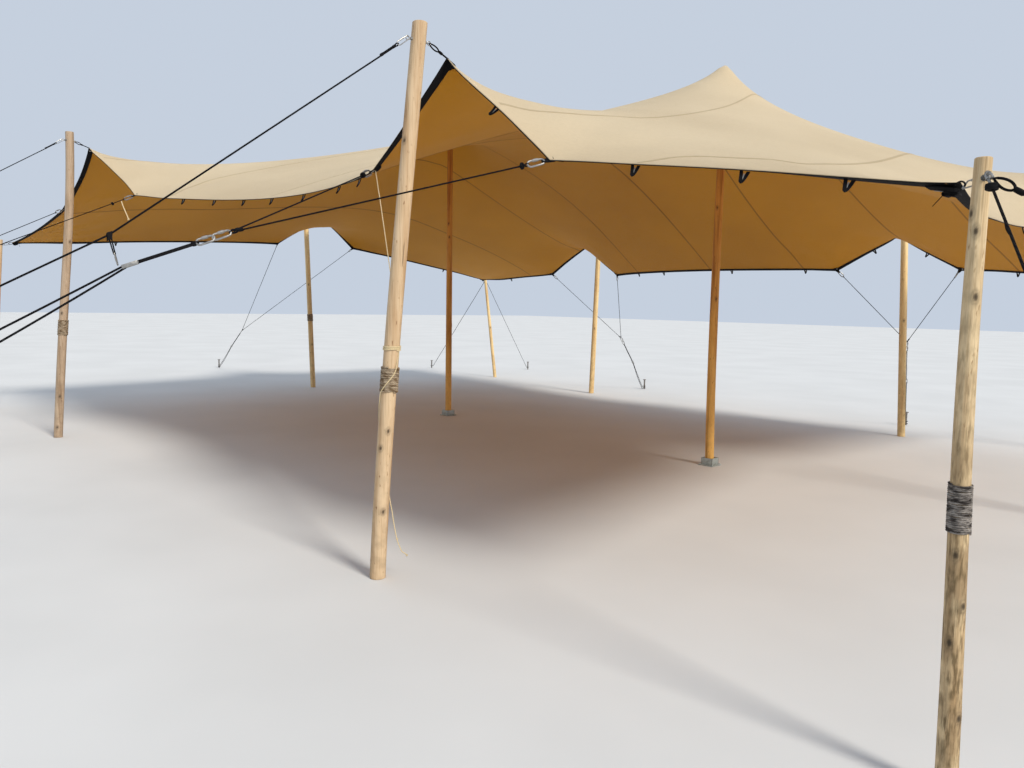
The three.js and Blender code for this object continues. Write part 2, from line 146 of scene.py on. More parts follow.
class Draft:
    """A mesh in the making: vertices, faces, and the marks that its finish reads."""

    crease = math.radians(42)

    def __init__(self) -> None:
        """Start empty."""
        self.points: list[Array] = []
        self.marks: list[Array] = []
        self.faces: list[tuple[int, ...]] = []
        self.slots: list[int] = []
        self.lays: list[Array] = []
        self.count = 0

    def add(
        self,
        points: Array,
        faces: Sequence[Sequence[int]],
        slot: int = 0,
        lay: Array | None = None,
        mark: Array | None = None,
    ) -> None:
        """Add vertices and the faces on them.

        Args:
            points: vertices, one row each.
            faces: for each face, its vertices, counted from the first one added here.
            slot: the material slot of the faces.
            lay: for each face corner, how far along and round the piece it is.
            mark: for each vertex, a number that the finish reads.
        """
        corners = sum(len(f) for f in faces)
        self.faces += [tuple(self.count + v for v in f) for f in faces]
        self.slots += [slot] * len(faces)
        self.lays.append(np.zeros((corners, 2)) if lay is None else lay.reshape(-1, 2))
        self.points.append(points)
        self.marks.append(np.zeros(len(points)) if mark is None else mark.ravel())
        self.count += len(points)

    def cap(self, ring: Sequence[int], slot: int = 0) -> None:
        """Close a ring of vertices with one face.

        Args:
            ring: the vertices, in the order that the face takes them.
            slot: the material slot.
        """
        self.faces.append(tuple(ring))
        self.slots.append(slot)
        self.lays.append(np.zeros((len(ring), 2)))

    def patch(
        self,
        grid: Array,
        closed: tuple[bool, bool] = (False, False),
        slot: int = 0,
        mark: Array | None = None,
        flip: bool = False,
    ) -> int:
        """Add a grid of four-sided faces.

        Args:
            grid: places in rows and columns.
            closed: whether the last row joins the first, and the last column the first.
            slot: the material slot.
            mark: the mark at each place.
            flip: turn the faces over.

        Returns:
            The number of the first vertex added.
        """
        first = self.count
        rows, columns = grid.shape[:2]
        i = np.arange(rows - (not closed[0]))[:, None]
        j = np.arange(columns - (not closed[1]))[None]
        corners = [(i, j), (i, j + 1), (i + 1, j + 1), (i + 1, j)]
        if flip:
            corners = [corners[0], corners[3], corners[2], corners[1]]
        faces = np.stack([(a % rows) * columns + b % columns for a, b in corners], -1)
        ring = np.vstack([grid.mean(1), grid.mean(1)[:1]])
        along = np.r_[0, np.cumsum(norm(np.diff(ring, axis=0), axis=1))]
        lay = [np.stack(np.broadcast_arrays(along[a], b / columns), -1) for a, b in corners]
        faces, lay = faces.reshape(-1, 4).tolist(), np.stack(lay, 2)
        self.add(grid.reshape(-1, 3), faces, slot, lay, mark)
        return first

    def bar(self, grid: Array) -> None:
        """Add a bar with closed ends.

        Args:
            grid: the rings of places round it, one row each.
        """
        sides = grid.shape[1]
        first = self.patch(grid, (False, True))
        last = first + (len(grid) - 1) * sides
        self.cap(range(first, first + sides))
        self.cap(range(last, last + sides)[::-1])

    def tube(
        self, path: Array, radius: float | Array, sides: int = 8, closed: bool = False
    ) -> None:
        """Add a round bar along a line.

        Args:
            path: the places that its middle follows.
            radius: its radius, one for all places or one each.
            sides: how many sides the round has.
            closed: whether it runs on from its end to its start.
        """
        path = vec(path)
        ahead = unit(steps(path, closed))
        side = beside_axis(ahead[0])
        sideways = []
        for forward in ahead:
            side = square_to(side, forward)
            sideways.append(side)
        sideways = np.array(sideways)
        upright = np.cross(ahead, sideways)
        turn = circle(sides)[:, None]
        reach = np.broadcast_to(radius, len(path))[:, None, None]
        swing = sideways[:, None] * np.cos(turn) + upright[:, None] * np.sin(turn)
        grid = path[:, None] + reach * swing
        if closed:
            self.patch(grid, (True, True))
        else:
            self.bar(grid)

    def turned(self, foot: Point, axis: Point, profile: Sequence[Pair], sides: int = 16) -> None:
        """Add a turned shape.

        Args:
            foot: where its axis starts.
            axis: which way its axis points.
            profile: pairs of distance along the axis and radius.
            sides: how many sides the round has.
        """
        axis = unit(axis)
        along, radii = vec(profile).T
        places = vec(foot) + along[:, None] * axis
        side = beside_axis(axis)
        other = np.cross(axis, side)
        turn = circle(sides)[None, :, None]
        grid = places[:, None] + radii[:, None, None] * (side * np.cos(turn) + other * np.sin(turn))
        self.bar(grid)

    def shell(
        self,
        grid: Array,
        thickness: float,
        slots: tuple[int, int] = (0, 0),
        mark: Array | None = None,
        ring: bool = False,
    ) -> None:
        """Add a closed sheet of even thickness.

        Args:
            grid: the middle of the sheet, in rows and columns.
            thickness: how thick it is.
            slots: the material slots of its upper and lower face.
            mark: the mark at each place.
            ring: whether its last row joins its first.
        """
        normal = grid_normals(grid, ring)
        rows, columns = grid.shape[:2]
        upper = self.patch(grid + normal * thickness / 2, (ring, False), slots[0], mark)
        lower = self.patch(grid - normal * thickness / 2, (ring, False), slots[1], mark, True)
        spans = []
        for edge in (0, columns - 1):
            walk = [i * columns + edge for i in range(rows)] + ([edge] if ring else [])
            spans += list(zip(walk, walk[1:]) if edge == 0 else zip(walk[1:], walk))
        if not ring:
            for edge in (0, rows - 1):
                walk = [edge * columns + j for j in range(columns)]
                spans += list(zip(walk[1:], walk) if edge == 0 else zip(walk, walk[1:]))
        self.faces += [(lower + b, lower + a, upper + a, upper + b) for a, b in spans]
        self.slots += [slots[0]] * len(spans)
        self.lays.append(np.zeros((4 * len(spans), 2)))

    def block(self, middle: Point, axes: Array, sizes: Point, bevel: float) -> None:
        """Add a block with rounded edges.

        Args:
            middle: its centre.
            axes: its three directions, one row each.
            sizes: its full size along each.
            bevel: the width of the rounding.
        """
        shape = bmesh.new()
        bmesh.ops.create_cube(shape, size=1)
        bmesh.ops.scale(shape, vec=Vector(sizes), verts=shape.verts)
        bmesh.ops.bevel(
            shape, geom=shape.edges[:], offset=bevel, segments=2, profile=0.6, affect="EDGES"
        )
        shape.verts.index_update()
        local = np.array([v.co for v in shape.verts])
        faces = [[v.index for v in f.verts] for f in shape.faces]
        shape.free()
        self.add(vec(middle) + local @ vec(axes), faces)

    def build(self, name: str, materials: Sequence[Material]) -> Piece:
        """Make the object.

        Args:
            name: its name.
            materials: its materials, in the order of the slots.

        Returns:
            The new object, in the scene.
        """
        mesh = bpy.data.meshes.new(name)
        mesh.from_pydata(np.vstack(self.points).tolist(), [], self.faces)
        for material in materials:
            mesh.materials.append(material)
        mesh.polygons.foreach_set("material_index", self.slots)
        mesh.polygons.foreach_set("use_smooth", [True] * len(self.slots))
        mesh.set_sharp_from_angle(angle=self.crease)
        mark = mesh.attributes.new("mark", "FLOAT", "POINT")
        mark.data.foreach_set("value", np.concatenate(self.marks).astype(np.float32))
        lay = mesh.attributes.new("lay", "FLOAT_VECTOR", "CORNER")
        flat = np.vstack(self.lays)
        lay.data.foreach_set("vector", np.c_[flat, flat[:, 0] * 0].astype(np.float32).ravel())
        mesh.validate()
        piece = bpy.data.objects.new(name, mesh)
        bpy.context.scene.collection.objects.link(piece)
        return piece


class Nodes:
    """The nodes of one material, with short ways to add to them."""

    def __init__(
        self, name: str, roughness: float, metallic: float = 0.0, specular: float = 0.5
    ) -> None:
        """Start a material that has one shader.

        Args:
            name: the name of the material.
            roughness: how dull it is.
            metallic: how much of a metal it is.
            specular: how strongly it mirrors.
        """
        self.material = bpy.data.materials.new(name)
        self.material.use_nodes = True
        self.tree = self.material.node_tree
        self.shader = self.tree.nodes["Principled BSDF"]
        self.shader.inputs["Roughness"].default_value = roughness
        self.shader.inputs["Metallic"].default_value = metallic
        self.shader.inputs["Specular IOR Level"].default_value = specular

    def _feed(self, entry: Socket, value: object) -> None:
        """Give an input what it needs.

        Args:
            entry: the input.
            value: a socket to join to it, or a value to set on it.
        """
        if isinstance(value, Socket):
            self.tree.links.new(value, entry)
        else:
            entry.default_value = value

    def add(self, kind: str, links: dict, **settings: object) -> bpy.types.Node:
        """Add a node.

        Args:
            kind: its type.
            links: for each input, by name or number, a socket to join or a value to set.
            settings: the node's own settings.

        Returns:
            The node.
        """
        node = self.tree.nodes.new(kind)
        for name, value in settings.items():
            setattr(node, name, value)
        for key, value in links.items():
            self._feed(node.inputs[key], value)
        return node

    def place(self, stretch: Point = (1.0, 1.0, 1.0)) -> Socket:
        """The place in the frame, in metres, times stretch."""
        links = {0: self.add("ShaderNodeTexCoord", {}).outputs["Object"], 1: stretch}
        return self.add("ShaderNodeVectorMath", links, operation="MULTIPLY").outputs[0]

    def noise(self, scale: float, detail: float = 3.0, stretch: Point = (1.0, 1.0, 1.0)) -> Socket:
        """A cloudy pattern with that many clouds to the metre."""
        links = {"Vector": self.place(stretch), "Scale": scale, "Detail": detail}
        return self.add("ShaderNodeTexNoise", links).outputs["Fac"]

    def mark(self) -> Socket:
        """The mark on the mesh."""
        return self.add("ShaderNodeAttribute", {}, attribute_name="mark").outputs["Fac"]

    def lay(self) -> bpy.types.Node:
        """How far along, X, and round, Y, the piece a place is."""
        found = self.add("ShaderNodeAttribute", {}, attribute_name="lay").outputs["Vector"]
        return self.add("ShaderNodeSeparateXYZ", {0: found})

    def maths(self, operation: str, a: object, b: object = 0.0, c: object = 0.0) -> Socket:
        """One sum on numbers or sockets."""
        return self.add("ShaderNodeMath", {0: a, 1: b, 2: c}, operation=operation).outputs[0]

    def times(self, a: object, b: object) -> Socket:
        """The product of two numbers or sockets."""
        return self.maths("MULTIPLY", a, b)

    def ramp(self, fac: Socket, stops: Sequence[tuple[float, Point]]) -> Socket:
        """A colour ramp.

        Args:
            fac: what it follows.
            stops: pairs of place and linear colour.

        Returns:
            The colour.
        """
        node = self.add("ShaderNodeValToRGB", {0: fac})
        elements = node.color_ramp.elements
        while len(elements) < len(stops):
            elements.new(0.5)
        for element, (place, colour) in zip(elements, stops):
            element.position = place
            element.color = (*colour, 1.0)
        return node.outputs["Color"]

    def blend(self, fac: object, a: object, b: object, how: str = "MIX") -> Socket:
        """Change a colour to, or by, another one.

        Args:
            fac: how far it changes, from 0 to 1.
            a: the colour, or its socket.
            b: the other colour, or its socket.
            how: the way they are mixed.

        Returns:
            The mixed colour.
        """
        node = self.add("ShaderNodeMix", {0: fac}, data_type="RGBA", blend_type=how)
        for key, value in ((6, a), (7, b)):
            joined = isinstance(value, Socket)
            self._feed(node.inputs[key], value if joined else (*value, 1.0))
        return node.outputs[2]

    def tinted(self, a: object, b: object, fac: float = 1.0) -> Socket:
        """Colour a multiplied by colour b."""
        return self.blend(fac, a, b, "MULTIPLY")

    def finish(
        self,
        colour: Socket,
        height: Socket | None = None,
        relief: float = 0.001,
        rough: Socket | None = None,
    ) -> Material:
        """Join the sockets to the shader.

        Args:
            colour: the base colour.
            height: the height of the bump.
            relief: how deep the bump is, in metres.
            rough: the roughness.

        Returns:
            The material.
        """
        self.tree.links.new(colour, self.shader.inputs["Base Color"])
        if rough is not None:
            self.tree.links.new(rough, self.shader.inputs["Roughness"])
        if height is not None:
            links = {"Height": height, "Distance": relief, "Strength": 1.0}
            bump = self.add("ShaderNodeBump", links)
            self.tree.links.new(bump.outputs[0], self.shader.inputs["Normal"])
        return self.material


def paint(red: int, green: int, blue: int) -> Colour:
    """Turn a screen colour into linear light.

    Args:
        red: its red, from 0 to 255.
        green: its green.
        blue: its blue.

    Returns:
        The same colour as linear light, from 0 to 1.
    """
    def linear(value: int) -> float:
        """One of its three parts as linear light."""
        share = value / 255
        return share / 12.92 if share <= 0.04045 else ((share + 0.055) / 1.055) ** 2.4

    return linear(red), linear(green), linear(blue)


def shaded(colour: Point, share: float) -> tuple[float, ...]:
    """The colour with share of its light."""
    return tuple(min(1.0, c * share) for c in colour)


@dataclass(frozen=True)
class Cloth:
    """Finish of the canopy: coated knit, paler or darker in soft patches, with painted shade near
    the rim.
    """

    name: str
    colour: Colour
    rim_shade_colour: Colour
    knit: float = 0.0032

    def material(self) -> Material:
        """Make it.

        Returns:
            The material.
        """
        n = Nodes(self.name, 0.82, specular=0.25)
        n.shader.inputs["Sheen Weight"].default_value = 0.08
        # painted shade near the rim: the mark blends from the rim shade colour at the edge to the
        # cloth's colour inboard
        tint = n.blend(n.mark(), self.rim_shade_colour, self.colour)
        soft = n.ramp(n.noise(0.7, 4), [(0.3, (0.9, 0.88, 0.85)), (0.7, (1.03, 1.03, 1.03))])
        speck = n.ramp(n.noise(45, 3), [(0.25, (0.95, 0.945, 0.94)), (0.6, WHITE)])
        tint = n.tinted(n.tinted(tint, soft), speck)
        turns = n.add("ShaderNodeSeparateXYZ", {0: n.place((TURN / self.knit,) * 3)}).outputs
        rib = n.times(n.maths("SINE", turns[0]), n.maths("SINE", turns[1]))
        height = n.maths("ADD", n.times(rib, 0.12), n.noise(9, 4))
        return n.finish(tint, height, 0.006)


@dataclass(frozen=True)
class Woven:
    """Finish of webbing and straps: ribs across, with a little dust."""

    name: str
    colour: Colour
    rib: float = 0.004

    def material(self) -> Material:
        """Make it.

        Returns:
            The material.
        """
        n = Nodes(self.name, 0.85, specular=0.15)
        dust = n.ramp(n.noise(14, 4), [(0.35, self.colour), (0.75, shaded(self.colour, 2.1))])
        along = n.lay()
        ribs = n.maths("SINE", n.times(along.outputs[0], TURN / self.rib))
        return n.finish(dust, n.maths("ADD", ribs, n.noise(420, 2)), 0.0006)


@dataclass(frozen=True)
class Twisted:
    """Finish of rope and cord: strands that wind round the lay, painted darker in the grooves
    between them as shade and lighter on their crowns as highlight.
    """

    name: str
    colour: Colour
    pitch: float
    strands: int = 4
    contrast: float = 0.35
    streak: Colour | None = None

    def material(self) -> Material:
        """Make it.

        Returns:
            The material.
        """
        n = Nodes(self.name, 0.85, specular=0.15)
        along = n.lay()
        turns = n.times(along.outputs[0], TURN / self.pitch)
        round_it = n.times(along.outputs[1], TURN * self.strands)
        strand = n.maths("SINE", n.maths("ADD", turns, round_it))
        fibre = n.noise(260, 3)
        dark = shaded(self.colour, 1 - self.contrast)
        light = shaded(self.colour, 1 + 0.8 * self.contrast)
        # painted shade in the grooves between strands and painted highlight on their crowns
        shares = n.maths("MULTIPLY_ADD", strand, 0.5, 0.5)
        tint = n.ramp(shares, [(0.0, dark), (0.45, self.colour), (1, light)])
        tint = n.blend(0.35, tint, n.ramp(fibre, [(0.3, dark), (0.7, light)]))
        if self.streak:
            worn = n.ramp(n.noise(28, 3, (1, 1, 3)), [(0.36, self.streak), (0.58, WHITE)])
            tint = n.tinted(tint, worn)
        return n.finish(tint, n.maths("ADD", strand, n.times(fibre, 0.6)), 0.0012)


@dataclass(frozen=True)
class Timber:
    """Finish of a peeled pole: long grain, streaks, knots, and darker patches towards the ground.

    The darkening reaches one metre up. Shade tones are colours by the height as a share of four
    metres, painted shade and light.
    """

    name: str
    pale: Colour
    dark: Colour
    low_darkening: float = 0.3
    weather: float = 0.0
    shade_tones: tuple = ()
    stained: Colour = paint(150, 124, 90)
    smudged: Colour = paint(96, 78, 48)

    def material(self) -> Material:
        """Make it.

        Returns:
            The material.
        """
        n = Nodes(self.name, 0.62, specular=0.3)
        grain = n.noise(170, 4, (1, 1, 0.03))
        streak = n.noise(24, 4, (1, 1, 0.05))
        bright = shaded(self.pale, 1.08)
        tint = n.ramp(streak, [(0.3, self.dark), (0.52, self.pale), (0.85, bright)])
        fine = n.ramp(grain, [(0.3, (0.8, 0.75, 0.69)), (0.5, WHITE), (0.8, (1.04, 1.03, 1.0))])
        cloud = n.ramp(n.noise(3.2, 3), [(0.3, (0.88, 0.85, 0.81)), (0.62, (1.02, 1.02, 1.02))])
        speck = n.ramp(n.noise(75, 2, (1, 1, 0.3)), [(0.66, WHITE), (0.74, (0.52, 0.42, 0.33))])
        tint = n.tinted(n.tinted(n.tinted(tint, fine), cloud, 0.9), speck)
        height_above = n.add("ShaderNodeSeparateXYZ", {0: n.place()}).outputs[2]
        # darker towards the bottom, in patches
        low = n.ramp(height_above, [(0.0, WHITE), (1.0, BLACK)])
        low_patches = n.times(low, n.ramp(n.noise(16, 5), [(0.42, BLACK), (0.62, WHITE)]))
        tint = n.blend(n.times(low_patches, self.low_darkening), tint, shaded(self.dark, 0.3))
        if self.weather:
            tint = self._weathered(n, tint, height_above)
        # painted shade and light: the shade tones tint the wood by its height
        if self.shade_tones:
            tint = n.tinted(tint, n.ramp(n.times(height_above, 0.25), self.shade_tones))
        tint = n.blend(n.mark(), tint, shaded(self.dark, 0.1))
        height = n.maths("ADD", n.times(grain, 0.7), streak)
        return n.finish(tint, height, 0.004)

    def _weathered(self, n: Nodes, tint: Socket, height: Socket) -> Socket:
        """Add the grey of old wood, and smudges that grow darker from the top down.

        Args:
            n: the nodes of the material.
            tint: the colour so far.
            height: the height above the ground.

        Returns:
            The weathered colour.
        """
        grey = n.ramp(n.noise(11, 5, (1, 1, 0.6)), [(0.4, BLACK), (0.6, WHITE)])
        down = n.maths("MULTIPLY_ADD", height, -0.75, 1.6)
        down = n.maths("MINIMUM", n.maths("MAXIMUM", down, 0.12), 1.0)
        tint = n.blend(n.times(grey, n.times(down, self.weather)), tint, self.stained)
        smudge = n.ramp(n.noise(95, 8, (1, 1, 0.2)), [(0.44, BLACK), (0.66, WHITE)])
        return n.blend(n.times(n.times(smudge, down), self.weather), tint, self.smudged)


@dataclass(frozen=True)
class EndGrain:
    """Finish of a sawn end: year rings round the heart."""

    name: str
    pale: Colour
    dark: Colour
    ring: float = 0.006

    def material(self) -> Material:
        """Make it.

        Returns:
            The material.
        """
        n = Nodes(self.name, 0.8)
        away = n.maths("ADD", n.mark(), n.times(n.noise(30, 2), 0.012))
        ring = n.maths("SINE", n.times(away, TURN / self.ring))
        tint = n.ramp(n.maths("MULTIPLY_ADD", ring, 0.5, 0.5), [(0.2, self.dark), (0.7, self.pale)])
        return n.finish(tint, n.noise(300, 3), 0.001)


@dataclass(frozen=True)
class Metal:
    """Finish of steel: dull or bright, with spangle, dirt and rubbed patches."""

    name: str
    colour: Colour
    stain: Colour
    roughness: float
    amount: float = 0.35
    spangle: float = 120.0
    metallic: float = 0.9

    def material(self) -> Material:
        """Make it.

        Returns:
            The material.
        """
        n = Nodes(self.name, self.roughness, self.metallic)
        worn = n.noise(self.spangle, 4)
        tint = n.ramp(worn, [(0.3, shaded(self.colour, 0.78)), (0.7, self.colour)])
        dirt = n.ramp(n.noise(38, 5), [(0.48, BLACK), (0.68, WHITE)])
        tint = n.blend(n.times(dirt, self.amount), tint, self.stain)
        rough = n.maths("MULTIPLY_ADD", worn, 0.3, self.roughness - 0.12)
        return n.finish(tint, worn, 0.0003, rough)


class Make(Enum):
    """What a piece is made of: the word for the piece's name."""

    CANVAS = "canvas"
    WEBBING = "webbing"
    TIMBER = "timber"
    ROPE = "rope"
    STEEL = "steel"
    PLATE = "plate"
    CORD = "cord"


class Wood(Enum):
    """How the wood of a pole looks.

    The sunlit wood is one timber darkened for the poles in the full lamp light, and the shaded
    wood the same timber brightened for the poles in the canopy's shade: painted shade and painted
    light. The king wood is warm orange, with painted golden light and shade under the canopy. One
    more copy is darker and greyer, and the old wood is weathered.
    """

    SUNLIT = "sunlit"
    SHADED = "shaded"
    GREYED = "dark_grey"
    OLD = "old"
    KING = "king"


class Wardrobe:
    """Every finish of the tent, made once."""

    def __init__(self) -> None:
        """Make the finishes."""
        # the underside copies of the canvas and of the seam tape are darker and golden brown:
        # painted shade, warmed by painted light shining through the cloth
        tape_top, tape_under_shade = paint(190, 170, 136), paint(172, 116, 26)
        top = Cloth("sand_canvas_top", paint(212, 193, 160), paint(210, 190, 156))
        under = Cloth("sand_canvas_under", paint(220, 154, 34), paint(214, 148, 34))
        self.canvas_top, self.canvas_under_shade = top.material(), under.material()
        self.seam_top = Cloth("seam_tape_top", tape_top, tape_top).material()
        self.seam_under_shade = Cloth("seam_tape_under", tape_under_shade, tape_under_shade).material()
        self.webbing = Woven("black_webbing", paint(15, 14, 16)).material()
        self.stitching = Woven("grey_webbing", paint(150, 148, 144)).material()
        self.rope = Twisted("black_rope", paint(15, 14, 17), 0.03, contrast=0.25).material()
        self.cord = Twisted("pale_cord", paint(228, 208, 166), 0.012, 3).material()
        twine = Twisted("grey_twine", paint(158, 150, 142), 0.016, 3, 0.3, (0.13, 0.12, 0.12))
        warm = Twisted("warm_twine", paint(176, 158, 134), 0.016, 3, 0.3, (0.35, 0.28, 0.2))
        self.twine, self.warm_twine = twine.material(), warm.material()
        # the king timber is warm orange, and its shade tones darken and warm it towards the top and
        # brighten its foot: painted golden light and shade under the canopy
        shade = ((0.02, (1.25, 1.3, 1.1)), (0.45, (1.0, 0.9, 0.6)), (0.95, (0.75, 0.5, 0.2)))
        king = Timber("king_timber", paint(220, 168, 100), paint(172, 118, 62), 0.15, shade_tones=shade)
        # the sunlit copy is darkened and the shaded copy brightened for how the lamp falls on each
        # pole: painted shade and painted light
        self.woods = {kind: timber.material() for kind, timber in (
            (Wood.SUNLIT, Timber("sunlit_timber", paint(202, 176, 142), paint(178, 144, 106))),
            (Wood.GREYED, Timber("dark_grey_timber", paint(176, 154, 130), paint(144, 122, 98))),
            (Wood.SHADED, Timber("shaded_timber", paint(232, 204, 150), paint(206, 166, 112))),
            (Wood.OLD, Timber("old_timber", paint(214, 190, 150), paint(178, 148, 108), 0.4, 0.8)),
            (Wood.KING, king),
        )}
        self.sawn_end = EndGrain("sawn_end", paint(206, 170, 126), paint(158, 116, 76)).material()
        steel = Metal("zinc_steel", paint(168, 166, 162), paint(90, 86, 80), 0.38)
        stake = Metal("stake_steel", paint(150, 146, 140), paint(96, 62, 40), 0.5, 0.6)
        dull, grey = paint(190, 196, 190), paint(110, 114, 106)
        plate = Metal("foot_plate", dull, grey, 0.45, 0.5, metallic=0.6)
        self.steel, self.stake_steel = steel.material(), stake.material()
        self.plate = plate.material()


def settle(piece: Piece, nodes: Sequence[str]) -> Piece:
    """Fix a piece to the tent.

    Args:
        piece: the new piece.
        nodes: the solids that it stands for.

    Returns:
        The piece.
    """
    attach(piece, BODY)
    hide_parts(*nodes)
    log.info("%s: %d faces", piece.name, len(piece.data.polygons))
    return piece


@dataclass
class Photographer:
    """Camera where the photographer stood, 1.6 m above the ground."""

    place: Triple = (4.07, -6.98, 1.6)
    pitch: float = math.radians(5.87)
    roll: float = math.radians(1.146)
    lens: float = 27.0
    film: float = 36.0
    sight: float = 400.0

    def build(self) -> None:
        """Put up the camera and make it the scene's own."""
        level = unit(LEVEL)
        ahead = unit((-1, 1, 0)) * math.cos(self.pitch) - UP * math.sin(self.pitch)
        above = np.cross(level, ahead)
        right = level * math.cos(self.roll) + above * math.sin(self.roll)
        above = np.cross(right, ahead)
        data = bpy.data.cameras.new("photographer")
        data.lens, data.sensor_width, data.sensor_fit = self.lens, self.film, "HORIZONTAL"
        data.clip_end = self.sight
        camera = bpy.data.objects.new("photographer", data)
        turn = Matrix((right, above, -ahead)).transposed().to_4x4()
        camera.matrix_world = Matrix.Translation(self.place) @ turn
        bpy.context.scene.collection.objects.link(camera)
        bpy.context.scene.camera = camera


@dataclass
class Studio:
    """Plain pale floor, one broad warm lamp from the right and a pale sky all round."""

    floor_side: float = 160.0
    floor_depth: float = 0.002
    floor_shades: tuple = ((0.35, (0.6, 0.6, 0.59)), (0.65, (0.64, 0.64, 0.63)))
    lamp_from: Triple = (0.8, -0.06, 0.62)
    lamp_colour: Colour = (1.0, 0.95, 0.87)
    lamp_strength: float = 3.3
    lamp_spread: float = math.radians(14)
    sky: Colour = (0.66, 0.74, 0.86)
    sky_strength: float = 0.85

    def build(self) -> None:
        """Lay the floor and hang the lights."""
        n = Nodes("pale_floor", 0.9)
        material = n.finish(n.ramp(n.noise(0.6, 3), self.floor_shades))
        draft = Draft()
        half, low = self.floor_side / 2, -self.floor_depth
        corners = [(-half, -half, low), (half, -half, low), (half, half, low), (-half, half, low)]
        draft.add(vec(corners), [(0, 1, 2, 3)])
        draft.build("studio_floor", [material])
        lamp = bpy.data.lights.new("broad_lamp", "SUN")
        lamp.energy, lamp.angle, lamp.color = self.lamp_strength, self.lamp_spread, self.lamp_colour
        lamp_object = bpy.data.objects.new("broad_lamp", lamp)
        lamp_object.rotation_euler = Vector(self.lamp_from).to_track_quat("Z", "Y").to_euler()
        bpy.context.scene.collection.objects.link(lamp_object)
        world = bpy.data.worlds.new("studio")
        world.use_nodes = True
        background = world.node_tree.nodes["Background"]
        background.inputs["Color"].default_value = (*self.sky, 1.0)
        background.inputs["Strength"].default_value = self.sky_strength
        bpy.context.scene.world = world
        bpy.context.scene.view_settings.view_transform = "Standard"


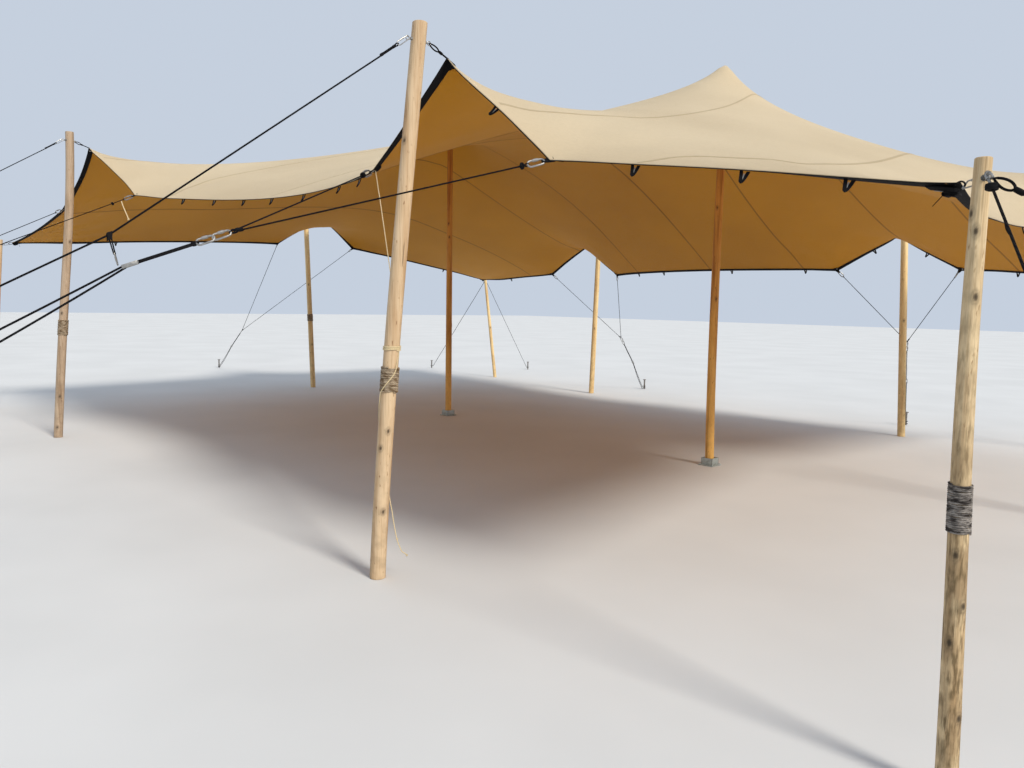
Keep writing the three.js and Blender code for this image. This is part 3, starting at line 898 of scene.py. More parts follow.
@dataclass
class Pole:
    """A peeled pole: where it stands, how it leans and bows, and what shows on it.

    A bow is how far the middle swells out and the share of the height where it does so most. A
    knot is a height and an azimuth in degrees, a crack is a middle height, a length and an azimuth.
    A wave of the surface is its share of the radius, its turns round, its run along the height and
    how far it is shifted from pole to pole.
    """

    foot: Pair
    head: Triple
    radii: Pair = (0.046, 0.042)
    bow: Pair = (0.0, 0.5)
    knots: tuple[Pair, ...] = ()
    crack: Triple | None = None
    band: Pair | None = None
    twine: float = 0.0048
    start: float = 0.0
    spare_top: float = 0.0
    dome: float = 0.0
    wood: Wood = Wood.SUNLIT
    sides: int = 48
    step: float = 0.012
    arris: float = 0.003
    waves: tuple = ((0.02, 2, 1.3, 1), (0.01, 3, -2.1, 2), (0.008, 0, 5.3, 1), (0.006, 7, 3.1, 0))
    wave_share: float = 0.6
    knot_bump: Pair = (0.0035, 0.018)
    knot_dent: Pair = (0.0022, 0.006)
    knot_heart: Pair = (0.95, 0.0095)
    knot_halo: Triple = (0.35, 0.014, 0.004)
    crack_depth: float = 0.003
    crack_width: float = 0.0028

    def middle(self, height: float | Array) -> Array:
        """Find the middle of the pole.

        Args:
            height: a height, or several.

        Returns:
            The place there, or one row for each height.
        """
        t = np.asarray(height, float) / self.head[2]
        out, at = self.bow
        swell = np.sin(math.pi * np.clip(t, 0, 1) ** (math.log(0.5) / math.log(at))) * out
        x, y = (self.foot[k] + t * (self.head[k] - self.foot[k]) + swell for k in (0, 1))
        return np.stack([x, y, np.asarray(height, float)], -1)

    def radius(self, height: float | Array) -> float | Array:
        """The radius of the pole at a height."""
        return self.radii[0] + (self.radii[1] - self.radii[0]) * height / self.head[2]

    def beside(self, height: float, azimuth: float, distance: float) -> Array:
        """A place beside the pole: its height, azimuth in degrees and distance from the wood."""
        out = outward(math.radians(azimuth))
        return self.middle(height) + (self.radius(height) + distance) * out

    def _aside(self, turn: Array, azimuth: float) -> Array:
        """How far round the wood, in metres, angles in radians lie from an azimuth in degrees."""
        return ((turn - math.radians(azimuth) + math.pi) % TURN - math.pi) * self.radii[0]

    def _relief(self, height: Array, turn: Array) -> tuple[Array, Array]:
        """Shape the surface of the wood.

        Args:
            height: heights on the pole.
            turn: the angle of each, in radians from +X.

        Returns:
            How far the wood stands out there, and how dark it is from its knots and from painted
            shade in the crack.
        """
        seed = 40 * self.foot[0] + 17 * self.foot[1]
        swell = sum(
            share * np.sin(turns * turn + run * height + shift * seed)
            for share, turns, run, shift in self.waves
        )
        out = swell * self.radii[0] * self.wave_share
        dark = np.zeros_like(out)
        bump, bump_wide = self.knot_bump
        dent, dent_wide = self.knot_dent
        heart, heart_wide = self.knot_heart
        halo, halo_away, halo_wide = self.knot_halo
        for knot_height, azimuth in self.knots:
            away = np.hypot((height - knot_height) / 1.5, self._aside(turn, azimuth))
            out = out + bump * np.exp(-((away / bump_wide) ** 2))
            out = out - dent * np.exp(-((away / dent_wide) ** 2))
            dark = np.maximum(dark, heart * np.exp(-((away / heart_wide) ** 4)))
            dark = np.maximum(dark, halo * np.exp(-(((away - halo_away) / halo_wide) ** 2)))
        if self.crack:
            middle, long, azimuth = self.crack
            inside = np.exp(-((self._aside(turn, azimuth) / self.crack_width) ** 2))
            inside = inside * np.clip((long / 2 - abs(height - middle)) / 0.03, 0, 1)
            out = out - self.crack_depth * inside
            # the crack is painted dark: painted shade inside it
            dark = np.maximum(dark, 0.8 * inside)
        return out, dark

    def draw(self, draft: Draft) -> None:
        """Add the pole to a draft.

        Args:
            draft: where it is added, the wood in slot 0 and the sawn ends in slot 1.
        """
        top = self.head[2] - self.spare_top
        heights = np.arange(self.start, top - self.dome - 0.5 * self.step, self.step)
        if self.dome:
            heights = np.r_[heights, np.linspace(top - self.dome, top - 2 * self.arris, 8)]
        heights = np.r_[heights, top - self.arris, top]
        height_grid, turn_grid = np.meshgrid(heights, circle(self.sides), indexing="ij")
        out, dark = self._relief(height_grid, turn_grid)
        reach = self.radius(height_grid) + out
        if self.dome:
            rise = np.clip((height_grid - top + self.dome) / self.dome, 0, 1)
            reach *= np.sqrt(1 - 0.8 * rise**2)
        reach[-1] -= self.arris
        grid = self.middle(heights)[:, None] + reach[..., None] * outward(turn_grid)
        draft.patch(grid, (False, True), 0, dark, flip=True)
        for level, flip in ((0, False), (-1, True)):
            rim = grid[level]
            heart = rim.mean(0)
            shares = np.linspace(1, 0.04, 6)
            face = heart + shares[:, None, None] * (rim - heart)[None]
            rings = np.broadcast_to(shares[:, None] * self.radii[1], face.shape[:2])
            first = draft.patch(face, (False, True), 1, rings, flip=not flip)
            inner = first + (len(shares) - 1) * self.sides
            ring = range(inner, inner + self.sides)
            draft.cap(ring[::-1] if flip else ring, 1)

    def whipping(
        self, draft: Draft, low: float, high: float, radius: float, wobble: float = 0.0014
    ) -> None:
        """Add a winding of twine between two heights.

        Args:
            draft: where it is added.
            low: height of its lowest turn.
            high: height of its highest turn.
            radius: radius of the twine.
            wobble: how far the turns stray up and down.
        """
        turns = (high - low) / (2 * radius)
        per_turn = 30
        k = np.arange(int(turns * per_turn) + 1)
        turn = TURN * k / per_turn
        stray = np.sin(0.83 * turn + 1.0) + 0.6 * np.sin(2.31 * turn) + 0.4 * np.sin(0.21 * turn)
        height = low + (high - low) * k / k[-1] + wobble * stray * 0.6
        out = self._relief(height, turn % TURN)[0]
        proud = 0.25 * radius * (1 + np.sin(1.37 * turn))
        reach = self.radius(height) + out + radius * 0.8 + proud * 0.5
        path = self.middle(height) + reach[:, None] * outward(turn)
        draft.tube(path, radius * (1 + 0.08 * np.sin(0.63 * turn)), 6)


class Side(Enum):
    """An edge of the canopy: the axis of its stations, and whether it is at their end."""

    FRONT = ("x", False)
    BACK = ("x", True)
    LEFT = ("y", False)
    RIGHT = ("y", True)


@dataclass
class EdgePeak:
    """A high point of the edge: its pole, the two low ties beside it and the guys that hold them.

    The block is where the guy from the pole's top bends, and the ratchet where its straps end. A
    stopper is how far a knot lies from a tie along its rope, and the slack how far a guy sags.
    """

    name: str
    side: Side
    pole: Pole
    peak: Triple
    ties: tuple[Triple, Triple]
    junction: Triple
    stake: Pair
    block: Triple | None = None
    ratchet: Triple | None = None
    stoppers: Pair = (0.0, 0.0)
    slack: float = 0.02


@dataclass
class TentCorner:
    """A corner of the canopy, its pole and the two stakes of its guys."""

    name: str
    pole: Pole
    corner: Triple
    stakes: tuple[Pair, Pair]


@dataclass
class King:
    """A king pole, and how far the crown over it leans down towards +X and +Y."""

    name: str
    pole: Pole
    lean: Pair


CORNER_RADII = (0.036, 0.028)
KING_POLE = dict(radii=(0.044, 0.037), start=0.0085, spare_top=0.022, dome=0.02, wood=Wood.KING)

FRONT_RIGHT_POLE = Pole(
    (0.45, -4.44), (0.606, -4.28, 3.12), bow=(-0.013, 0.4), band=(1.093, 1.236),
    knots=((0.773, -66), (0.872, -19), (0.403, -19), (2.485, -74), (1.72, 120), (2.2, 170)),
    crack=(1.867, 0.15, -6), step=0.008,
)

KINGS = (
    King("left", Pole(
        (-4.35, 0.15), (-4.34, 0.12, 4.045), **KING_POLE,
        knots=((2.72, -60), (2.53, -45), (1.3, 40), (1.9, 150)),
    ), (-0.17, 0.045)),
    King("right", Pole(
        (0.0, 0.0), (0.009, -0.062, 3.958), bow=(-0.012, 0.36), **KING_POLE,
        knots=((1.7, -40), (2.6, -80), (0.9, 100)),
    ), (0.27, 0.09)),
)

PEAKS = (
    EdgePeak(
        "front_left", Side.FRONT,
        Pole(
            (-5.69, -4.52), (-5.506, -4.336, 3.39), bow=(0.02, 0.75), band=(1.163, 1.333),
            wood=Wood.GREYED,
            knots=((2.198, 12), (1.41, -40), (0.47, -14), (0.12, -30), (2.6, 160)),
        ),
        (-5.615, -4.07, 3.25), ((-6.73, -4.07, 2.676), (-4.12, -4.11, 2.63)),
        (-5.58, -6.68, 1.32), (-5.58, -9.13), (-5.536, -6.04, 2.17), stoppers=(0.0, 0.278),
    ),
    EdgePeak(
        "front_right", Side.FRONT, FRONT_RIGHT_POLE,
        (0.62, -4.06, 2.945), ((0.085, -4.2, 2.405), (1.535, -4.175, 2.305)),
        (0.62, -5.38, 1.905), (0.02, -8.9), (0.45, -5.84, 1.868), (0.421, -5.8, 1.726),
        stoppers=(0.172, 0.18), slack=0.11,
    ),
    EdgePeak(
        "back_left", Side.BACK,
        Pole((-4.93, 4.11), (-4.889, 4.151, 2.8), wood=Wood.SHADED, knots=((1.2, -50), (1.9, 60))),
        (-4.965, 3.865, 2.67), ((-5.995, 4.1, 2.215), (-4.22, 3.83, 2.17)),
        (-4.835, 4.838, 1.016), (-4.78, 5.58),
    ),
    EdgePeak(
        "back_right", Side.BACK,
        Pole(
            (0.66, 3.63), (0.557, 3.527, 2.69), wood=Wood.SHADED,
            knots=((1.5, -60), (0.6, 20), (2.1, 110)),
        ),
        (0.555, 3.295, 2.55), ((-0.255, 3.46, 2.17), (1.24, 3.505, 2.15)),
        (0.512, 4.055, 1.212), (0.35, 4.75),
    ),
    EdgePeak(
        "left_end", Side.LEFT,
        Pole(
            (-8.66, 0.49), (-8.744, 0.406, 3.22), band=(1.231, 1.36), wood=Wood.SHADED,
            knots=((1.9, -30), (0.8, -10), (2.5, 140)),
        ),
        (-8.41, 0.525, 3.095), ((-8.21, -0.43, 2.58), (-8.24, 1.105, 2.6)),
        (-11.716, 0.578, 0.941), (-13.6, 0.9),
    ),
    EdgePeak(
        "right_end", Side.RIGHT,
        Pole((3.7, 0.35), (3.81, 0.35, 3.07), knots=((1.4, -90), (2.2, 30), (0.7, 150))),
        (3.395, 0.295, 2.95), ((2.97, -0.545, 2.24), (3.05, 1.12, 2.24)),
        (5.32, 0.35, 1.13), (7.02, 0.35),
    ),
)

CORNERS = (
    TentCorner(
        "front_left",
        Pole((-8.54, -4.59), (-8.4, -4.44, 2.35), CORNER_RADII, knots=((1.3, -20),)),
        (-8.2, -4.3, 2.311), ((-10.88, -4.98), (-8.88, -6.88)),
    ),
    TentCorner(
        "front_right",
        Pole(
            (3.403, -4.222), (3.372, -4.25, 2.08), (0.035, 0.0255), bow=(-0.009, 0.65),
            wood=Wood.OLD, step=0.006, band=(0.898, 1.059), twine=0.0034,
            knots=(
                (0.829, -83), (0.663, -32), (1.909, -123), (1.854, -83), (1.653, -57),
                (0.536, -94), (0.284, -28), (1.3, 60),
            ),
        ),
        (3.18, -3.9, 2.05), ((6.42, -4.58), (4.59, -6.2)),
    ),
    TentCorner(
        "back_left",
        Pole(
            (-8.22, 4.77), (-8.403, 4.587, 2.23), CORNER_RADII, wood=Wood.SHADED,
            knots=((1.1, -30),),
        ),
        (-8.18, 4.325, 2.135), ((-10.88, 5.12), (-9.28, 6.92)),
    ),
    TentCorner(
        "back_right",
        Pole((3.37, 4.0), (3.44, 4.07, 2.15), CORNER_RADII, wood=Wood.SHADED, knots=((1.5, -70),)),
        (3.22, 3.82, 2.05), ((6.12, 4.42), (4.22, 6.32)),
    ),
)


def overhand(draft: Draft, end: Array, ahead: Array, radius: float) -> None:
    """Add two crossing turns of a rope round one of its places.

    Args:
        draft: where they are added.
        end: the place.
        ahead: the way the rope runs there.
        radius: the radius of the rope.
    """
    side = square_to(np.array([0.3, 0.9, 0.2]), ahead)
    other = np.cross(ahead, side)
    turn = circle(18)[:, None]
    for tip in (0.5, -0.5):
        leaning = unit(side + tip * ahead)
        round_it = leaning * np.cos(turn) + other * np.sin(turn)
        ring = end - ahead * 1.2 * radius + 1.6 * radius * round_it
        draft.tube(ring, 0.85 * radius, 6, closed=True)


@dataclass
class LooseCords:
    """Three free cords: one tail at a tie, one at a guy, and one wound down the front right pole.

    The wound part is given by height, azimuth in degrees and distance from the wood, and the
    hanging part, which has a knot in its middle, by places.
    """

    wardrobe: Wardrobe
    tie: tuple = (
        (0.089, -4.209, 2.399), (0.089, -4.204, 2.372), (0.091, -4.197, 2.33),
        (0.094, -4.191, 2.285), (0.099, -4.185, 2.24), (0.104, -4.18, 2.192),
        (0.109, -4.175, 2.145), (0.114, -4.17, 2.098), (0.119, -4.165, 2.05),
        (0.124, -4.16, 2.002), (0.129, -4.155, 1.954), (0.134, -4.15, 1.906),
        (0.139, -4.145, 1.858), (0.144, -4.14, 1.81), (0.149, -4.135, 1.768),
        (0.152, -4.132, 1.742),
    )
    guy: tuple = (
        (-4.201, -4.253, 2.557), (-4.2, -4.252, 2.547), (-4.198, -4.25, 2.535),
        (-4.195, -4.247, 2.521), (-4.192, -4.244, 2.507), (-4.188, -4.24, 2.493),
        (-4.184, -4.236, 2.479), (-4.18, -4.232, 2.465), (-4.176, -4.228, 2.451),
        (-4.172, -4.224, 2.437), (-4.168, -4.22, 2.423), (-4.164, -4.216, 2.409),
        (-4.16, -4.212, 2.395), (-4.157, -4.209, 2.381), (-4.154, -4.206, 2.367),
    )
    wound: tuple = (
        (1.345, 25, 0.003), (1.312, 22, 0.003), (1.28, 15, 0.003), (1.25, 8, 0.004),
        (1.222, 0, 0.008), (1.19, -16, 0.009), (1.16, -40, 0.009), (1.125, -68, 0.009),
        (1.092, -94, 0.008), (1.06, -110, 0.004), (1.0, -131, 0.003), (0.93, -150, 0.003),
        (0.86, -169, 0.003), (0.79, -188, 0.003), (0.72, -206, 0.003), (0.65, -225, 0.003),
        (0.58, -245, 0.003), (0.515, -268, 0.003),
    )
    hanging: tuple = (
        (0.499, -4.39, 0.46), (0.506, -4.381, 0.4), (0.513, -4.375, 0.34),
        (0.521, -4.368, 0.282), (0.529, -4.36, 0.228), (0.537, -4.352, 0.195),
        (0.549, -4.34, 0.158), (0.562, -4.327, 0.146), (0.572, -4.317, 0.132),
    )
    thin: float = 0.003
    thick: float = 0.0045

    def _cord(self, node: str, route: Array, radius: float, knots: Sequence[Array]) -> None:
        """Args:
            node: the solid that it stands for.
            route: the points that it follows, from its exit.
            radius: its radius.
            knots: stretches of the route that end in a knot.
        """
        path = smooth_line(route, 0.008)
        material = self.wardrobe.cord
        draft = Draft()
        draft.tube(path, radius, 10)
        cord = settle(draft.build(f"{node}_line", [material]), [node])
        knot_draft = Draft()
        for stretch in knots:
            overhand(knot_draft, stretch[-1], unit(stretch[-1] - stretch[-2]), radius)
        knot = settle(knot_draft.build(f"{node}_knot", [material]), [node])
        round(line_length(path), 3)

    def build(self) -> None:
        """Make the three cords."""
        tie, guy, hanging = vec(self.tie), vec(self.guy), vec(self.hanging)
        self._cord("tie_cord", tie, self.thin, [tie[-2:]])
        self._cord("guy_cord", guy, self.thick, [guy[-2:]])
        down = [FRONT_RIGHT_POLE.beside(*place) for place in self.wound]
        route = np.vstack([down, hanging])
        self._cord("pole_cord", route, self.thin, [hanging[3:5], route[-2:]])


@dataclass
class CanopyNet:
    """The stretched cloth as a net at rest, in the pull and weight that it stands in.

    The field pulls across the tent with strength one, and its edge webbing, the king poles and
    the weight of the edges (front, back, left, right) are counted against that. The front edge
    carries its weight as far as front_split. Keys are lines of the net that pass through held
    points, and cells how many coarse cells lie between them. Folds are for a peak and a corner.
    """

    edge_pull: float = 31.9
    lengthwise_pull: float = 0.409
    field_lift: float = 0.186
    king_pull: Pair = (7.38, 0.005)
    edge_weight: tuple[float, float, float, float] = (3.05, 2.3, 0.2, 2.03)
    front_split: float = 0.3
    crown_reach: float = 0.3
    crown_wide: float = 0.075
    crown_flat: float = 0.012
    crown_drop: Pair = (1.11, 1.4)
    crown_gather: float = 0.6
    hem_rise: float = 0.16
    hem_from: Pair = (1.0, -1.4)
    hem_over: float = 1.6
    start_height: float = 2.6
    balanced: float = 1e-7
    column_keys: tuple = (-8.2, -6.75, -5.6, -4.95, -4.35, -4.1, -0.19, 0.0, 0.6, 1.4, 3.2)
    column_cells: tuple = (5, 3, 2, 2, 1, 10, 1, 2, 3, 5)
    row_keys: tuple = (-4.2, -3.6, -0.48, 0.05, 0.4, 1.06, 3.4, 4.0)
    row_cells: tuple = (3, 8, 2, 1, 2, 6, 3)
    split: int = 4
    crown_lines: tuple = (0.05, 0.1, 0.14, 0.18, 0.22, 0.26, 0.295, 0.33, 0.37, 0.42, 0.47)
    fold_height: Pair = (0.005, 0.009)
    fold_reach: Pair = (0.4, 0.75)
    fold_count: tuple[int, int] = (7, 14)
    columns: Array = field(init=False)
    rows: Array = field(init=False)
    places: Array = field(init=False)

    def _lines(
        self, keys: Sequence[float], cells: Sequence[int], crowns: Sequence[float]
    ) -> tuple[Array, Array]:
        """Where the lines of the net run.

        Args:
            keys: places that have a line.
            cells: how many coarse cells lie between them.
            crowns: lines that pass over a king pole, beside which the net is finer.

        Returns:
            The coarse lines and all of the lines.
        """
        spans = zip(keys, keys[1:], cells)
        coarse = np.concatenate([np.linspace(a, b, n, endpoint=False) for a, b, n in spans])
        coarse = np.r_[coarse, keys[-1]]
        fine = [np.linspace(a, b, self.split, endpoint=False) for a, b in zip(coarse, coarse[1:])]
        fine = np.r_[np.concatenate(fine), coarse[-1]]
        near = [c + s * away for c in crowns for s in (-1, 1) for away in self.crown_lines]
        within = [v for v in near if keys[0] < v < keys[-1]]
        spare = [v for v in within if np.abs(fine - v).min() > 0.005]
        return coarse, np.unique(np.r_[fine, spare])

    def _anchors(self) -> list[tuple[int, int, Array]]:
        """Find the held points of the edge.

        Returns:
            The row, the column and the place of each.
        """
        found = []
        last = (len(self.rows) - 1, len(self.columns) - 1)
        for spot in PEAKS:
            axis, end = spot.side.value
            for place in (spot.peak, *spot.ties):
                i = self._nearest(self.columns, self._coarse[0], place[0])
                j = self._nearest(self.rows, self._coarse[1], place[1])
                row, column = (last[0] * end, i) if axis == "x" else (j, last[1] * end)
                found.append((row, column, vec(place)))
        for spot in CORNERS:
            right, back = spot.corner[0] > self.column_keys[4], spot.corner[1] > 0
            found.append((last[0] * back, last[1] * right, vec(spot.corner)))
        return found

    @staticmethod
    def _nearest(lines: Array, coarse: Array, value: float) -> int:
        """The line that a coarse line nearest to value has become."""
        return int(np.abs(lines - coarse[np.abs(coarse - value).argmin()]).argmin())

    @staticmethod
    def _share(lines: Array) -> Array:
        """The strip of cloth that each line carries."""
        return (np.r_[lines[1:], lines[-1]] - np.r_[lines[0], lines[:-1]]) / 2

    def relax(self) -> None:
        """Find the net at rest: each free node where the pulls of its neighbours balance."""
        column_coarse, self.columns = self._lines(self.column_keys, self.column_cells, (-4.35, 0.0))
        row_coarse, self.rows = self._lines(self.row_keys, self.row_cells, (0.05,))
        self._coarse = (column_coarse, row_coarse)
        x, y = self.columns, self.rows
        share_x, share_y = self._share(x), self._share(y)
        heads = [vec(king.pole.head) for king in KINGS]
        strength, reach = self.king_pull

        def pull(at_x: Array, at_y: Array) -> Array:
            """How hard the cloth pulls at places in it."""
            return 1 + sum(strength / (np.hypot(at_x - h[0], at_y - h[1]) + reach) for h in heads)

        def ends(lines: Array) -> Array:
            """The pull of the edge webbing, which only the first and the last line have."""
            return np.isin(np.arange(len(lines)), (0, len(lines) - 1)) * self.edge_pull

        mid_x, mid_y = (x[1:] + x[:-1]) / 2, (y[1:] + y[:-1]) / 2
        along = self.lengthwise_pull * share_y[:, None] * pull(mid_x[None], y[:, None])
        along = (along + ends(y)[:, None]) / np.diff(x)[None]
        across = share_x[None] * pull(x[None], mid_y[:, None])
        across = (across + ends(x)[None]) / np.diff(y)[:, None]
        net = np.zeros((len(y), len(x), 3))
        net[..., 0], net[..., 1], net[..., 2] = x, y[:, None], self.start_height
        held = np.zeros(net.shape[:2], bool)
        for j, i, place in self._anchors():
            net[j, i], held[j, i] = place, True
        for king in KINGS:
            self._hold_crown(net, held, king)
        front, back, left, right = self.edge_weight
        load = np.zeros_like(net)
        load[..., 2] = self.field_lift * share_x[None] * share_y[:, None]
        load[0, :, 2] -= np.where(x < self.front_split, front, 0) * share_x
        load[-1, :, 2] -= back * share_x
        load[:, 0, 2] -= left * share_y
        load[:, -1, 2] -= right * share_y
        self.places = self._balance(net, ~held, along[..., None], across[..., None], load)
        self._pleat()

    def _hold_crown(self, net: Array, held: Array, king: King) -> None:
        """Lay the cloth over the head of a king pole.

        Args:
            net: the places of the net, which are changed.
            held: which nodes are held, which is changed.
            king: the king pole.
        """
        head = vec(king.pole.head)
        i = self._nearest(self.columns, self._coarse[0], head[0])
        j = self._nearest(self.rows, self._coarse[1], head[1])
        dx, dy = np.meshgrid(self.columns - self.columns[i], self.rows - self.rows[j])
        reach = np.hypot(dx, dy)
        narrow = self.crown_wide / self.crown_reach
        gather = narrow * (reach / self.crown_reach) ** self.crown_gather
        dx, dy = dx * gather, dy * gather
        past = np.maximum(np.hypot(dx, dy) - self.crown_flat, 0)
        depth, scale = self.crown_drop
        fall = depth * np.log(1 + past / scale) + king.lean[0] * dx + king.lean[1] * dy
        near = reach <= self.crown_reach
        net[near] = (head + np.stack([dx, dy, -fall], -1))[near]
        held |= near

    def _balance(self, net: Array, free: Array, along: Array, across: Array, load: Array) -> Array:
        """Solve the net by conjugate gradients.

        Args:
            net: places to start from, with the held nodes where they stay.
            free: which nodes can move.
            along: pull of the links along the tent.
            across: pull of the links across it.
            load: what lifts or weighs on each node.

        Returns:
            The places of all nodes at rest.
        """
        total = np.zeros((*net.shape[:2], 1))
        total[:, :-1] += along
        total[:, 1:] += along
        total[:-1] += across
        total[1:] += across
        moving = free[..., None]

        def pulls(v: Array) -> Array:
            """Find what the links make of a shift of every node.

            Args:
                v: the shifts.

            Returns:
                The pull on each node that is free.
            """
            out = total * v
            out[:, :-1] -= along * v[:, 1:]
            out[:, 1:] -= along * v[:, :-1]
            out[:-1] -= across * v[1:]
            out[1:] -= across * v[:-1]
            return out * moving

        place = net.copy()
        rest = load * moving - pulls(place)
        eased = rest / total
        step = eased.copy()
        size = (rest * eased).sum((0, 1))
        for _ in range(4000):
            answer = pulls(step)
            share = size / np.maximum((step * answer).sum((0, 1)), 1e-30)
            place += share * step
            rest -= share * answer
            if np.abs(rest).max() < self.balanced:
                break
            eased = rest / total
            grown = (rest * eased).sum((0, 1))
            step = eased + grown / size * step
            size = grown
        return place

    def _pleat(self) -> None:
        """Raise small folds in the cloth that run out from each held point."""
        normal = grid_normals(self.places)
        x, y = np.meshgrid(self.columns, self.rows)
        lift = np.zeros_like(x)
        for number, (j, i, _) in enumerate(self._anchors()):
            dx, dy = x - self.columns[i], y - self.rows[j]
            end_column, end_row = i in (0, len(self.columns) - 1), j in (0, len(self.rows) - 1)
            corner = int(end_column and end_row)
            away, turn = np.hypot(dx, dy) / self.fold_reach[corner], np.arctan2(dy, dx)
            fade = away**4 * np.exp(2 - 2 * away**2)
            folds = np.cos(self.fold_count[corner] * turn + 1.7 * number)
            lift += fade * folds * self.fold_height[corner]
        self.places = self.places + lift[..., None] * normal

    def at(self, x: float | Array, y: float | Array) -> tuple[Array, Array]:
        """The cloth at a place in the net.

        Args:
            x: the station along the tent.
            y: the station across it.

        Returns:
            The place and the upward normal there.
        """
        i = np.clip(np.searchsorted(self.columns, x) - 1, 0, len(self.columns) - 2)
        j = np.clip(np.searchsorted(self.rows, y) - 1, 0, len(self.rows) - 2)
        u = ((x - self.columns[i]) / (self.columns[i + 1] - self.columns[i]))[..., None]
        v = ((y - self.rows[j]) / (self.rows[j + 1] - self.rows[j]))[..., None]
        normal = grid_normals(self.places)
        place, up = (
            (1 - u) * (1 - v) * g[j, i] + u * (1 - v) * g[j, i + 1]
            + (1 - u) * v * g[j + 1, i] + u * v * g[j + 1, i + 1] for g in (self.places, normal)
        )
        return place, unit(up)

    def edge(self, side: Side) -> tuple[Array, Array, Array]:
        """One edge of the net, whose hem turns up towards the front right corner.

        Args:
            side: which edge.

        Returns:
            Its places, the ways out of the cloth, as long as a mitre of width one, and its normals.
        """
        axis, end = side.value
        take = (-1 if end else 0, slice(None)) if axis == "x" else (slice(None), -1 if end else 0)
        place, normal = self.places[take], grid_normals(self.places)[take]
        run = unit(np.diff(place, axis=0))
        sign = 1.0 if (axis == "x") != end else -1.0
        before = unit(sign * np.cross(np.vstack([run[:1], run]), normal))
        after = unit(sign * np.cross(np.vstack([run, run[-1:]]), normal))
        out = unit(before + after)
        out = out * np.minimum(1 / (out * before).sum(1, keepdims=True), 1.6)
        past = {
            Side.FRONT: self.columns - self.hem_from[0],
            Side.RIGHT: self.hem_from[1] - self.rows,
        }.get(side)
        if past is not None:
            out = out + (np.clip(past / self.hem_over, 0, 1) * self.hem_rise)[:, None] * UP
        return place, out, normal

    def rim(self) -> tuple[Array, Array, Array]:
        """Follow the whole rim once round.

        Returns:
            Its places, the ways out of the cloth and its normals.
        """
        parts = []
        for side, back in ((Side.FRONT, 1), (Side.RIGHT, 1), (Side.BACK, -1), (Side.LEFT, -1)):
            place, out, normal = (v[::back].copy() for v in self.edge(side))
            parts.append([place, out, normal])
        for k, part in enumerate(parts):
            ahead = parts[(k + 1) % 4]
            part[1][-1] = ahead[1][0] = part[1][-1] + ahead[1][0]
        return tuple(np.vstack([part[k][:-1] for part in parts]) for k in range(3))


